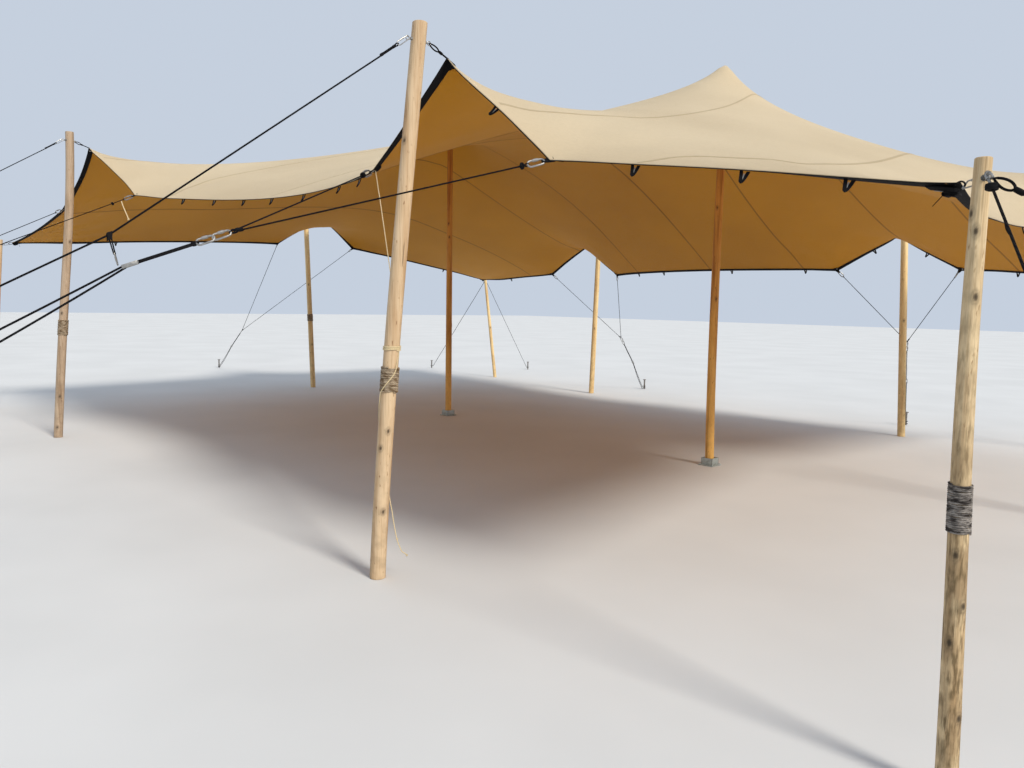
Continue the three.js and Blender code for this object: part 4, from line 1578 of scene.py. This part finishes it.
@dataclass
class Canopy:
    """The canopy: one stretched sheet with its seams, edge webbing and tabs.

    A seam is given by stations across and along the net, and the tabs of a side by their scale and
    their stations.
    """

    net: CanopyNet
    wardrobe: Wardrobe
    thickness: float = 0.003
    hem: float = 0.043
    webbing_inset: float = 0.003
    webbing_thickness: float = 0.0035
    webbing_overhang: float = 0.004
    webbing_gap: float = 0.0004
    flat_size: Pair = (7.5, 10.5)
    seam_width: float = 0.02
    seam_thickness: float = 0.0012
    edge_shade: float = 0.7
    seams: tuple = (
        ((-4.19, -6.96), (-3.0, -7.1), (-2.0, -7.15), (0.7, -6.85), (2.2, -6.78), (3.99, -6.52)),
        ((-4.19, -5.36), (-0.14, -5.32), (0.87, -5.24), (3.63, -5.1), (3.99, -5.09)),
        ((-4.19, -3.68), (-3.5, -3.98), (-1.0, -3.72), (2.0, -3.37), (3.99, -3.5)),
        ((-4.19, -2.05), (1.06, -1.94), (3.99, -2.0)),
        ((-4.19, -0.52), (2.37, -0.7), (3.99, -0.6)),
        (
            (-4.19, 0.97), (-3.5, 1.07), (-3.1, 1.17), (-2.0, 1.02), (-0.13, 0.74), (2.45, 0.69),
            (3.99, 0.67),
        ),
        (
            (-4.19, 1.84), (-3.9, 2.0), (-3.56, 2.38), (-2.8, 2.47), (-1.08, 2.32), (2.34, 1.83),
            (3.99, 1.77),
        ),
    )
    tabs: tuple = (
        (
            Side.FRONT, 0.62,
            (-6.07, -3.4, -2.93, -2.46, -1.91, -1.36, -0.66, -0.27, 0.97, 1.83, 2.41, 2.84),
        ),
        (Side.RIGHT, 0.62, (-2.59, -2.04, 1.9, 2.7)),
        (Side.BACK, 0.6, (-7.2, -3.47, -2.93, -1.7, -0.58, 0.3, 0.87, 1.76, 2.4)),
        (Side.LEFT, 0.6, (-3.0, -1.9, 2.1, 3.0)),
    )

    def _sheet(self) -> Piece:
        """Make the sheet, spread past the net as far as the hem.

        Returns:
            The sheet.
        """
        net = self.net
        rows, columns = net.places.shape[:2]
        grid = np.zeros((rows + 2, columns + 2, 3))
        grid[1:-1, 1:-1] = net.places
        edges = {side: net.edge(side) for side in Side}
        spread = {side: place + self.hem * out for side, (place, out, _) in edges.items()}
        grid[0, 1:-1], grid[-1, 1:-1] = spread[Side.FRONT], spread[Side.BACK]
        grid[1:-1, 0], grid[1:-1, -1] = spread[Side.LEFT], spread[Side.RIGHT]
        for row, lengthwise in ((0, Side.FRONT), (-1, Side.BACK)):
            for column, sideways in ((0, Side.LEFT), (-1, Side.RIGHT)):
                out = edges[lengthwise][1][column] + edges[sideways][1][row]
                grid[row, column] = edges[lengthwise][0][column] + self.hem * out
        x, y = np.meshgrid(*(np.r_[v[0], v, v[-1]] for v in (net.columns, net.rows)))
        inboard = np.minimum.reduce([x - x.min(), x.max() - x, y - y.min(), y.max() - y])
        draft = Draft()
        shade = np.clip(inboard / self.edge_shade, 0, 1) ** 0.7
        draft.shell(grid, self.thickness, (0, 1), shade)
        # slot 1, the underside, takes the painted shade copy of the canvas
        materials = [self.wardrobe.canvas_top, self.wardrobe.canvas_under_shade]
        return settle(draft.build("canopy_sheet", materials), ["canopy"])

    def _seams(self) -> Piece:
        """Make the taped seams, on both faces of the cloth.

        Returns:
            The seams.
        """
        draft = Draft()
        (left, right), (front, back) = (v[[0, -1]] for v in (self.net.columns, self.net.rows))
        for knots in self.seams:
            line = smooth_line([(x, y, 0) for y, x in knots], 0.06)
            ahead = unit(np.gradient(line, axis=0))
            across = np.stack([ahead[:, 1], -ahead[:, 0]], -1) * self.seam_width / 2
            for face, slot in ((1, 0), (-1, 1)):
                strip = []
                for share in (-1.0, 0.0, 1.0):
                    x, y = (line[:, :2] + share * across).T
                    place, normal = self.net.at(np.clip(x, left, right), np.clip(y, front, back))
                    rise = self.thickness / 2 + 0.0008 + 0.0009 * (1 - abs(share))
                    strip.append(place + normal * face * rise)
                inner = np.ones((len(line), 3))
                draft.shell(np.stack(strip, 1), self.seam_thickness, (slot, slot), inner)
        materials = [self.wardrobe.seam_top, self.wardrobe.seam_under_shade]
        return settle(draft.build("canopy_seams", materials), ["canopy"])

    def _webbing(self) -> Piece:
        """Make the webbing band under the rim.

        Returns:
            The band.
        """
        place, out, normal = self.net.rim()
        below = self.thickness / 2 + self.webbing_thickness / 2 + self.webbing_gap
        brim = self.hem + self.webbing_overhang
        shares = np.array([-self.webbing_inset, 0.0, 0.5 * self.hem, brim])
        grid = place[:, None] + shares[None, :, None] * out[:, None] - below * normal[:, None]
        draft = Draft()
        draft.shell(grid[:, ::-1], self.webbing_thickness, ring=True)
        band = draft.build("edge_webbing_band", [self.wardrobe.webbing])
        return settle(band, ["edge_webbing"])

    def _tabs(self) -> Piece:
        """Make the folded webbing tabs along the edges.

        Returns:
            The tabs.
        """
        draft = Draft()
        for side, scale, stations in self.tabs:
            place, out, _ = self.net.edge(side)
            lines = self.net.columns if side.value[0] == "x" else self.net.rows
            for station in stations:
                k = int(np.clip(np.abs(lines - station).argmin(), 1, len(lines) - 2))
                along = unit(place[k + 1] - place[k - 1])
                way = square_to(unit(unit(out[k]) * 0.5 - UP * 0.85), along)
                root = place[k] + unit(out[k]) * (self.hem - 0.014) - UP * 0.007
                Tab().draw(draft, root, way, along, scale)
        tabs = draft.build("edge_tabs", [self.wardrobe.webbing, self.wardrobe.stitching])
        return settle(tabs, ["edge_webbing"])

    def build(self) -> None:
        sheet = self._sheet()
        others = [self._seams(), self._webbing(), self._tabs()]


@dataclass(frozen=True)
class Tab:
    """A tab of webbing folded to a V: two legs that lie over each other at a rounded tip."""

    long: float = 0.095
    spread: float = 0.024
    wide: float = 0.024
    bow: float = 0.006
    lap: float = 0.0019
    webbing: float = 0.0032
    label: float = 0.0035
    label_thickness: float = 0.0016

    def draw(self, draft: Draft, root: Array, way: Array, along: Array, scale: float) -> None:
        """Add a tab.

        Args:
            draft: where it is added; slot 1 is the grey strip between the legs, a painted
                highlight inside the tab.
            root: the middle of its broad end.
            way: the way it hangs.
            along: the way the edge runs.
            scale: its size against the common one.
        """
        face = np.cross(along, way)
        t = np.linspace(0, 1, 12)[:, None]
        breadth = self.wide * scale / 2 * np.sqrt(1 - 0.93 * np.clip((t - 0.84) / 0.16, 0, 1) ** 2)
        bow = self.bow * scale * np.sin(math.pi * t)
        fall = root + t * (self.long * scale) * way
        for sign in (-1, 1):
            sideways = sign * self.spread * scale * (1 - t) ** 0.9 * along
            middle = fall + sideways + (bow + self.lap * sign) * face
            legs = middle[:, None] + STRAP_LINES * breadth[:, None] * along
            draft.shell(legs, self.webbing)
        # the grey strip between the legs is a painted highlight inside the tab
        label = (fall + bow * face)[2:8, None] + STRAP_LINES * (self.label * scale) * along
        draft.shell(label, self.label_thickness, (1, 1))


WASHER = ((0, 0.01), (0.0045, 0.01), (0.0052, 0.0092))
NUT = ((0, 0.0078), (0.0075, 0.0078), (0.0085, 0.0066))
BOLT_END = ((0, 0.0036), (0.007, 0.0036), (0.008, 0.0028))
BLOCK_WHEEL = ((0, 0.009), (0.003, 0.012), (0.009, 0.01), (0.015, 0.012), (0.018, 0.009))
CORNER_KNOB = ((0, 0.01), (0.004, 0.018), (0.0125, 0.019), (0.021, 0.018), (0.025, 0.01))
SLEEVE = ((0, 0.7), (0.12, 1), (0.5, 1.06), (0.88, 1), (1, 0.7))
STRAP_LINES = np.linspace(-1, 1, 4)[None, :, None]
STAKE_BAR = (
    (0.0, 0.0145), (0.17, 0.0145), (0.176, 0.017), (0.178, 0.027), (0.18, 0.0295),
    (0.187, 0.0295), (0.19, 0.026), (0.1895, 0.004),
)


class Rigging:
    """Rope, webbing and steel drawn together for one part of the rig."""

    patch_thickness = 0.0016
    gather_thickness = 0.006

    def __init__(self, wardrobe: Wardrobe) -> None:
        """Start with nothing drawn."""
        self.wardrobe = wardrobe
        self.rope, self.strap, self.steel = Draft(), Draft(), Draft()

    def build(self, name: str) -> None:
        """Make a piece of each material that has something drawn.

        Args:
            name: the solid that they stand for, with which their names start.
        """
        w = self.wardrobe
        for draft, materials, make in (
            (self.rope, [w.rope], Make.ROPE),
            (self.strap, [w.webbing, w.stitching], Make.WEBBING),
            (self.steel, [w.steel], Make.STEEL),
        ):
            if draft.count:
                settle(draft.build(f"{name}_{make.value}", materials), [name])

    def line(self, a: Point, b: Point, radius: float, sag: float = 0.0) -> None:
        """Add a rope.

        Args:
            a: one end.
            b: the other.
            radius: its radius.
            sag: how far its middle hangs below the straight line.
        """
        path = straight(a, b)
        t = np.linspace(0, 1, len(path))
        self.rope.tube(path - (4 * sag * t * (1 - t))[:, None] * UP, radius, 10)

    def carabiner(self, a: Point, b: Point, wide: float = 0.042, wire: float = 0.0048) -> None:
        """Add a carabiner: a pear of bar with its gate's sleeve.

        Args:
            a: its narrow end.
            b: its broad end.
            wide: its outer width.
            wire: the radius of its bar.
        """
        a, b = vec(a), vec(b)
        axis = unit(b - a)
        side = beside_axis(axis)
        side = unit(side + 0.6 * np.cross(axis, side))
        long = norm(b - a)
        small, large = 0.36 * wide, 0.5 * wide - wire
        narrow, broad = np.linspace(-1.4, 1.4, 7), np.linspace(1.5, -1.5, 9)
        low = [(small - small * math.cos(t), small * math.sin(t)) for t in narrow]
        high = [(long - large + large * math.cos(t), large * math.sin(t)) for t in broad]
        outline = np.array(low + high)
        path = a + outline[:, :1] * axis + outline[:, 1:] * side
        self.steel.tube(path, wire, 8, closed=True)
        gate, half = (path[6] + path[7]) / 2, axis * 0.16 * long
        self.steel.tube(straight(gate - half, gate + half, 0.05), 1.6 * wire, 8)

    def ferrule(self, place: Point, ahead: Point, long: float, radius: float) -> None:
        """Add a black sleeve that closes a loop of rope.

        Args:
            place: its middle.
            ahead: the way the rope runs.
            long: its length.
            radius: its radius.
        """
        ahead = unit(ahead)
        foot = vec(place) - ahead * long / 2
        profile = [(along * long, share * radius) for along, share in SLEEVE]
        self.strap.turned(foot, ahead, profile, 14)

    def noose(self, a: Point, b: Point, spread: float, radius: float) -> None:
        """Add a doubled loop of rope.

        Args:
            a: where it opens out.
            b: where it closes.
            spread: half of its greatest width.
            radius: the radius of the rope.
        """
        a, b = vec(a), vec(b)
        axis = unit(b - a)
        side = beside_axis(axis)
        long = norm(b - a)
        t = np.linspace(0, 1, 10)
        width = spread * np.sin(math.pi * (1 - t) ** 0.8) ** 0.8
        middle, aside = a + (t * long)[:, None] * axis, width[:, None] * side
        self.rope.tube(np.vstack([(middle + aside)[::-1], (middle - aside)[1:]]), radius, 8)

    def eye_bolt(self, pole: Pole, height: float, toward: Array) -> Array:
        """Add an eye bolt through a pole.

        Args:
            pole: the pole.
            height: how high the bolt is.
            toward: the place that its eye faces.

        Returns:
            The middle of its eye.
        """
        middle, radius = pole.middle(height), pole.radius(height)
        out = unit((toward - middle) * LEVEL)
        for way in (out, -out):
            skin = middle + way * (radius - 0.0025)
            self.steel.turned(skin, way, WASHER, 20)
            self.steel.turned(skin + way * 0.005, way, NUT, 6)
            self.steel.turned(skin + way * 0.013, way, BOLT_END, 10)
        eye = middle + out * (radius + 0.027)
        turn = circle(20)[:, None]
        ring = eye + 0.0105 * (out * np.cos(turn) + UP * np.sin(turn))
        self.steel.tube(ring, 0.0028, 8, closed=True)
        return eye

    def flat_strap(self, a: Array, b: Array, across: Array, wide: float) -> None:
        """Add a flat strap.

        Args:
            a: one end of its middle.
            b: the other.
            across: the way that its face looks.
            wide: its width.
        """
        path = straight(a, b, 0.05)
        sideways = np.cross(unit(b - a), across)
        wave = 0.0012 * np.sin(np.arange(len(path)) * 1.1)[:, None] * across
        lines = (path + wave)[:, None] + STRAP_LINES * (wide / 2) * unit(sideways)
        self.strap.shell(lines, 0.0028)

    def buckle(self, place: Array, way: Array, side: Array) -> None:
        """Add the steel buckle where a doubled strap ends.

        Args:
            place: its near end.
            way: the way the strap runs.
            side: the way its bars run.
        """
        other = np.cross(way, side)
        axes = np.array([way, other, side])
        for sign in (-1, 1):
            middle = place + way * 0.03 + other * sign * 0.012
            self.steel.block(middle, axes, (0.07, 0.003, 0.018), 0.0012)
        for along in (-0.004, 0.024, 0.052):
            middle = place + way * along
            bar = straight(middle - other * 0.014, middle + other * 0.014, 0.03)
            self.steel.tube(bar, 0.0042, 10)

    def bunch(self, middle: Array, a: Array, b: Array) -> None:
        """Add folds of webbing drawn together under a corner.

        Args:
            middle: where they lie.
            a: the way along one edge.
            b: the way along the other.
        """
        bend, half, drop = 0.022, 0.015, 0.005
        for number, (way, across) in enumerate(((a, b), (b, a), (a + b, a - b), (a + 0.4 * b, b))):
            way = unit(way)
            across = square_to(unit(across), way)
            face = np.cross(way, across)
            turn = np.linspace(-1.5, 1.5, 9)[:, None]
            low = middle - UP * (drop * number)
            fold = low + bend * way * np.cos(turn) - 0.006 * face * np.sin(turn)
            fold = np.vstack([fold[:1] - 0.03 * way, fold, fold[-1:] - 0.026 * way])
            ruck = 0.003 * np.sin(np.arange(len(fold)) * 1.9 + number)[:, None, None] * face
            self.strap.shell(fold[:, None] + STRAP_LINES * half * across + ruck, 0.003)

    def gather(
        self, tip: Array, inward: Array, edges: tuple[Array, Array], long: float, depth: float
    ) -> None:
        """Add the gathered webbing at a held point of the cloth.

        Args:
            tip: where its pleats start.
            inward: the way into the cloth.
            edges: the ways that the edge leaves the point.
            long: how far the webbing reaches.
            depth: how deep its pleats are.
        """
        a, b = unit(edges[0]), unit(edges[1])
        face = unit(np.cross(a, b))
        if face[2] < 0:
            a, b, face = b, a, -face
        t = np.linspace(0, 1, 15)
        rays = np.outer((1 - t) ** 1.5, a) + np.outer(t**1.5, b)
        rays = unit(rays + np.outer(0.9 * np.sin(math.pi * t), unit(inward)))
        reach = np.linspace(0.1, 1, 7)
        ends = 1 - 0.2 * np.sin(math.pi * t)
        grid = tip + (reach[:, None] * ends[None] * long)[..., None] * rays[None]
        pleat = depth * np.cos(7 * math.pi * t)[None] * (1 - 0.5 * reach[:, None])
        grid = grid - face * (0.011 + pleat[..., None])
        self.strap.shell(grid, self.gather_thickness)
        self.strap.shell(grid[3:6, 10:13] - face * 0.0045, self.patch_thickness, (1, 1))


@dataclass
class PoleSet:
    """All twelve poles, their twine bands, and the two king feet."""

    wardrobe: Wardrobe
    foot_side: float = 0.17
    foot_plate: float = 0.008
    socket_side: float = 0.126
    socket_height: float = 0.072
    socket_wall: float = 0.006
    bolt_reach: float = 0.073
    bolt_head: tuple = ((0, 0.0085), (0.006, 0.0085), (0.0075, 0.007))
    wedge: Pair = (0.013, 0.06)
    ring_heights: Pair = (1.331, 1.357)
    ring_cord: float = 0.0038

    def _pole(self, pole: Pole, node: str) -> None:
        """Make one pole and its band.

        Args:
            pole: the pole.
            node: the solid that it stands for.
        """
        draft = Draft()
        pole.draw(draft)
        wood = [self.wardrobe.woods[pole.wood], self.wardrobe.sawn_end]
        settle(draft.build(f"{node}_wood", wood), [node])
        if pole.band:
            band = Draft()
            pole.whipping(band, *pole.band, pole.twine)
            twine = self.wardrobe.twine if pole.wood is Wood.OLD else self.wardrobe.warm_twine
            settle(band.build(f"{node}_band", [twine]), [node])

    def _ring(self) -> None:
        """Make the two turns of pale cord that the long cord leaves."""
        draft = Draft()
        FRONT_RIGHT_POLE.whipping(draft, *self.ring_heights, self.ring_cord, 0.001)
        ring = draft.build("pole_front_right_ring", [self.wardrobe.cord])
        settle(ring, ["pole_front_right"])

    def _foot(self, king: King) -> None:
        """Make the plate and the square socket at the foot of a king pole.

        Args:
            king: the king pole.
        """
        x, y = king.pole.foot
        draft, axes = Draft(), np.eye(3)
        plate = (self.foot_side, self.foot_side, self.foot_plate)
        draft.block((x, y, self.foot_plate / 2), axes, plate, 0.002)
        high, wall, side = self.socket_height, self.socket_wall, self.socket_side
        middle = self.foot_plate / 2 + high / 2
        reach = side / 2 - wall / 2
        for sign in (-1, 1):
            draft.block((x + sign * reach, y, middle), axes, (wall, side, high), 0.0015)
            draft.block((x, y + sign * reach, middle), axes, (side, wall, high), 0.0015)
            for other in (-1, 1):
                bolt = (x + sign * self.bolt_reach, y + other * self.bolt_reach)
                draft.turned((*bolt, self.foot_plate - 0.001), UP, self.bolt_head, 6)
            wedge = (x + sign * (reach - 0.011), y, middle + 0.004)
            draft.block(wedge, axes, (*self.wedge, high - 0.012), 0.002)
        node = f"king_foot_{king.name}"
        settle(draft.build(f"{node}_shoe", [self.wardrobe.plate]), [node])

    def build(self) -> None:
        """Make the poles and feet."""
        for spot in PEAKS:
            self._pole(spot.pole, f"pole_{spot.name}")
        for spot in CORNERS:
            self._pole(spot.pole, f"pole_{spot.name}_corner")
        for king in KINGS:
            self._pole(king.pole, f"king_pole_{king.name}")
            self._foot(king)
        self._ring()


@dataclass
class Rig:
    """Links, guys and stakes: how the poles, the cloth and the ground are tied together.

    A sleeve is the length and the radius of the ferrule on a loop.
    """

    net: CanopyNet
    wardrobe: Wardrobe
    link_below_top: float = 0.095
    corner_link_below_top: float = 0.065
    strap_height: float = 0.055
    low_turn_height: float = 0.02
    top_guy_height: float = 0.13
    shackle_reach: float = 0.11
    shackle_drop: float = 0.04
    link_rope: float = 0.0048
    tie_rope: float = 0.004
    guy_rope: float = 0.0042
    end_rope: float = 0.0046
    stake_rope: float = 0.005
    link_sleeve: Pair = (0.026, 0.0078)
    tie_sleeve: Pair = (0.024, 0.0075)
    top_sleeve: Pair = (0.024, 0.0078)
    corner_sleeve: Pair = (0.034, 0.0085)
    strap_widths: Pair = (0.015, 0.026)
    long_run: float = 3.0

    def _edge_ways(self, side: Side, place: Point) -> tuple[Array, Array, Array]:
        """Find how the edge runs at a held point.

        Args:
            side: the edge.
            place: the held point.

        Returns:
            The ways along the edge to both sides, and the way into the cloth.
        """
        line, out, _ = self.net.edge(side)
        k = int(norm(line - vec(place), axis=1).argmin())
        before, after = line[max(k - 2, 0)] - line[k], line[min(k + 2, len(line) - 1)] - line[k]
        return before, after, -unit(out[k])

    def _link(self, spot: EdgePeak) -> None:
        """Make the loop that ties an edge peak to its pole.

        Args:
            spot: the peak.
        """
        rig = Rigging(self.wardrobe)
        peak = vec(spot.peak)
        height = spot.pole.head[2] - self.link_below_top
        eye = rig.eye_bolt(spot.pole, height, peak)
        before, after, inward = self._edge_ways(spot.side, spot.peak)
        tip = peak - inward * 0.045
        run = unit(tip - eye)
        rig.noose(eye, eye + run * 0.072, 0.011, 0.0042)
        rig.ferrule(eye + run * 0.084, run, *self.link_sleeve)
        rig.line(eye + run * 0.08, tip + run * 0.012, self.link_rope)
        rig.gather(peak - inward * 0.04, inward, (before, after), 0.066, 0.003)
        rig.build(f"link_{spot.name}")

    def _corner_link(self, spot: TentCorner) -> None:
        """Make the shackle that ties a corner to its pole.

        Args:
            spot: the corner.
        """
        rig = Rigging(self.wardrobe)
        corner = vec(spot.corner)
        height = spot.pole.head[2] - self.corner_link_below_top
        eye = rig.eye_bolt(spot.pole, height, corner)
        lengthwise = Side.FRONT if corner[1] < 0 else Side.BACK
        sideways = Side.LEFT if corner[0] < self.net.column_keys[4] else Side.RIGHT
        along, across = (
            unit(max(self._edge_ways(side, spot.corner)[:2], key=norm))
            for side in (lengthwise, sideways)
        )
        inward = unit(along + across)
        tip = corner - inward * 0.05
        run = unit(tip - eye)
        hold = eye + run * 0.62 * norm(tip - eye)
        rig.carabiner(eye - run * 0.008, hold, 0.036, 0.003)
        rig.noose(tip + inward * 0.03, hold - run * 0.01, 0.014, 0.0032)
        rig.gather(corner - inward * 0.055, inward, (along, across), 0.11, 0.006)
        rig.bunch(corner - inward * 0.005 - UP * 0.012, along, across)
        tail = corner + inward * 0.035 - UP * 0.03
        rig.line(tail, tail + along * 0.03 - UP * 0.04, 0.0016)
        rig.build(f"link_{spot.name}_corner")

    def _stake_loop(
        self, rig: Rigging, foot: Point, height: float, origin: Array, radius: float
    ) -> Array:
        """Wind a line once round a stake.

        Args:
            rig: where it is drawn.
            foot: where the stake stands.
            height: how high the line goes round it.
            origin: where the line comes from.
            radius: the radius of the line.

        Returns:
            The place where the line arrives.
        """
        middle = vec((*foot, height))
        way = unit((origin - middle) * LEVEL)
        side = np.cross(UP, way)
        turn = np.linspace(-2.4, 2.4, 12)[:, None]
        ring = middle + 0.022 * (-way * np.cos(turn) + side * np.sin(turn))
        meet = middle + way * 0.075
        rig.rope.tube(np.vstack([meet[None], ring, meet[None]]), radius, 8)
        return meet

    def _tie(self, rig: Rigging, spot: EdgePeak, tie: Point, stopper: float) -> None:
        """Draw one tie of an edge peak, from the cloth to the junction.

        Args:
            rig: where it is drawn.
            spot: the peak.
            tie: the held point.
            stopper: how far the knot in its rope is from it, or nought.
        """
        junction = vec(spot.junction)
        before, after, inward = self._edge_ways(spot.side, tie)
        way = unit(junction - vec(tie))
        root = vec(tie) - inward * 0.018
        side = square_to(unit(after - before), way)
        t = np.linspace(0, 1, 5)[:, None]
        taper = np.linspace(-1, 1, 5)[None] * (0.026 - 0.015 * t)
        flat = root + (t * 0.06)[..., None] * way + taper[..., None] * side
        rig.strap.shell(flat, rig.gather_thickness)
        label = flat[1:4, 1:4] + np.cross(side, way) * 0.004
        rig.strap.shell(label, rig.patch_thickness, (1, 1))
        rig.gather(root, inward, (before, after), 0.05, 0.003)
        rig.carabiner(root + way * 0.048, root + way * 0.13, 0.044)
        rig.noose(root + way * 0.148, root + way * 0.124, 0.006, 0.0035)
        rig.line(root + way * 0.14, junction - way * 0.03, self.tie_rope)
        if stopper:
            overhand(rig.rope, vec(tie) + way * stopper, way, 0.0072)
        rig.ferrule(junction - way * 0.052, way, *self.tie_sleeve)
        rig.noose(junction + way * 0.002, junction - way * 0.04, 0.007, 0.0038)

    def _tie_guys(self, spot: EdgePeak) -> None:
        """Make the two tie ropes of an edge peak, their junction and the strap to the stake.

        Args:
            spot: the peak.
        """
        rig = Rigging(self.wardrobe)
        for tie, stopper in zip(spot.ties, spot.stoppers):
            self._tie(rig, spot, tie, stopper)
        junction = vec(spot.junction)
        turn_at = vec(spot.ratchet or (*spot.stake, self.strap_height))
        way = unit(turn_at - junction)
        run = norm(turn_at - junction)
        rig.carabiner(junction - way * 0.006, junction + way * 0.078)
        rig.carabiner(junction + way * 0.07, junction + way * 0.152)
        side = square_to(UP, way)
        doubled = run - 0.228 if spot.ratchet else (0.35 if run > 1.2 else 0.25) * run
        near = junction + way * 0.146
        far = near + way * doubled
        other = np.cross(way, side)
        for sign in (-1, 1):
            shift = sign * other * 0.003
            wide = self.strap_widths[int(run >= self.long_run)]
            rig.flat_strap(near + shift, far + shift, other, wide)
        rig.noose(near - way * 0.004, near + way * 0.03, 0.007, 0.0045)
        rig.buckle(far, way, side)
        for height, lift, sag in (
            (self.strap_height, 0.004, 0.4 * spot.slack), (self.low_turn_height, -0.006, spot.slack)
        ):
            meet = self._stake_loop(rig, spot.stake, height, junction, self.stake_rope)
            rig.line(far + way * 0.05 + side * lift, meet, self.end_rope, sag)
        rig.build(f"tie_guys_{spot.name}")

    def _top_guy(self, spot: EdgePeak) -> None:
        """Make the guy from a pole's top, over its block, to the stake.

        Args:
            spot: the peak that the pole holds.
        """
        rig = Rigging(self.wardrobe)
        block, end = vec(spot.block), vec((*spot.stake, self.top_guy_height))
        height = spot.pole.head[2] - self.link_below_top
        eye = rig.eye_bolt(spot.pole, height, block)
        way = unit(block - eye)
        rig.carabiner(eye - way * 0.01, eye + way * 0.078, 0.03, 0.0026)
        rig.noose(eye + way * 0.07, eye + way * 0.096, 0.006, 0.0036)
        rig.ferrule(eye + way * 0.104, way, *self.top_sleeve)
        side = square_to(UP, way)
        rig.line(eye + way * 0.1 + side * 0.004, eye + way * 0.196 + side * 0.0035, 0.0032)
        rig.ferrule(eye + way * 0.198, way, *self.top_sleeve)
        rig.line(eye + way * 0.1 - side * 0.003, block, self.guy_rope)
        meet = self._stake_loop(rig, spot.stake, self.top_guy_height, block, self.guy_rope)
        rig.line(block, meet, self.guy_rope)
        run = unit(end - block)
        level = unit(np.cross(run, UP))
        rig.strap.turned(block - level * 0.009, level, BLOCK_WHEEL, 18)
        for sign in (-1, 1):
            cheek = block + level * sign * 0.012 - UP * 0.006
            rig.strap.block(cheek, np.array([run, level, UP]), (0.022, 0.0025, 0.034), 0.001)
        self._block_strap(rig, spot, block, run)
        rig.build(f"top_guy_{spot.name}")

    def _block_strap(self, rig: Rigging, spot: EdgePeak, block: Array, run: Array) -> None:
        """Make the two narrow straps under a block, down to the ratchet where there is one.

        Args:
            rig: where they are drawn.
            spot: the peak whose guy runs over the block.
            block: the middle of the block.
            run: the way of the guy beyond it.
        """
        low = vec(spot.ratchet) + UP * 0.014 if spot.ratchet else block - UP * 0.12
        down = unit(low - block)
        hook = low - down * 0.05
        for sign in (-1, 1):
            top = block + down * 0.012 + run * sign * 0.005
            rig.flat_strap(top, hook + run * sign * 0.003, run, 0.013)
        rig.carabiner(hook - down * 0.008, low, 0.02, 0.0024)

    def _corner_guys(self, spot: TentCorner) -> None:
        """Make both guys of a corner, from the shackle on its pole to their stakes.

        Args:
            spot: the corner.
        """
        rig = Rigging(self.wardrobe)
        height = spot.pole.head[2] - self.corner_link_below_top
        middle = spot.pole.middle(height)
        out = unit((middle - vec(spot.corner)) * LEVEL)
        eye = rig.eye_bolt(spot.pole, height, middle + out)
        shackle = middle + out * self.shackle_reach - UP * self.shackle_drop
        drop = unit(shackle - eye)
        rig.carabiner(eye - drop * 0.008, shackle + drop * 0.002, 0.034, 0.0042)
        rig.carabiner(eye + UP * 0.006, shackle + UP * 0.03, 0.026, 0.0038)
        rig.strap.turned(shackle - UP * 0.0125, UP, CORNER_KNOB, 16)
        low = self.strap_height
        for number, (stake, origin) in enumerate(zip(spot.stakes, (shackle + UP * 0.027, shackle))):
            way = unit(vec((*stake, low)) - origin)
            meet = self._stake_loop(rig, stake, low, shackle, self.stake_rope)
            if number:
                rig.line(origin + way * 0.01, meet, self.guy_rope)
                continue
            rig.noose(origin + way * 0.004, origin + way * 0.074, 0.013, 0.0042)
            rig.ferrule(origin + way * 0.086, way, *self.corner_sleeve)
            rig.line(origin + way * 0.074, meet, self.link_rope)
        rig.build(f"corner_guys_{spot.name}")

    def _stake(self, name: str, place: Point) -> None:
        """Make one steel stake with a round head.

        Args:
            name: the solid that it stands for.
            place: where it stands.
        """
        draft = Draft()
        draft.turned((*place, 0.0), UP, STAKE_BAR, 24)
        settle(draft.build(f"{name}_bar", [self.wardrobe.stake_steel]), [name])

    def build(self) -> None:
        """Make the whole rig."""
        for spot in PEAKS:
            self._link(spot)
            self._tie_guys(spot)
            self._stake(f"stake_{spot.name}", spot.stake)
            if spot.block:
                self._top_guy(spot)
        for spot in CORNERS:
            self._corner_link(spot)
            self._corner_guys(spot)
            for letter, stake in zip("ab", spot.stakes):
                self._stake(f"stake_{spot.name}_corner_{letter}", stake)


def main() -> None:
    """Build the scene in order: camera, cords, cloth, poles, rig and light."""
    logging.basicConfig(level=logging.INFO, format="%(message)s")
    Photographer().build()
    wardrobe = Wardrobe()
    LooseCords(wardrobe).build()
    net = CanopyNet()
    net.relax()
    Canopy(net, wardrobe).build()
    PoleSet(wardrobe).build()
    Rig(net, wardrobe).build()
    Studio().build()


if __name__ == "__main__":
    main()
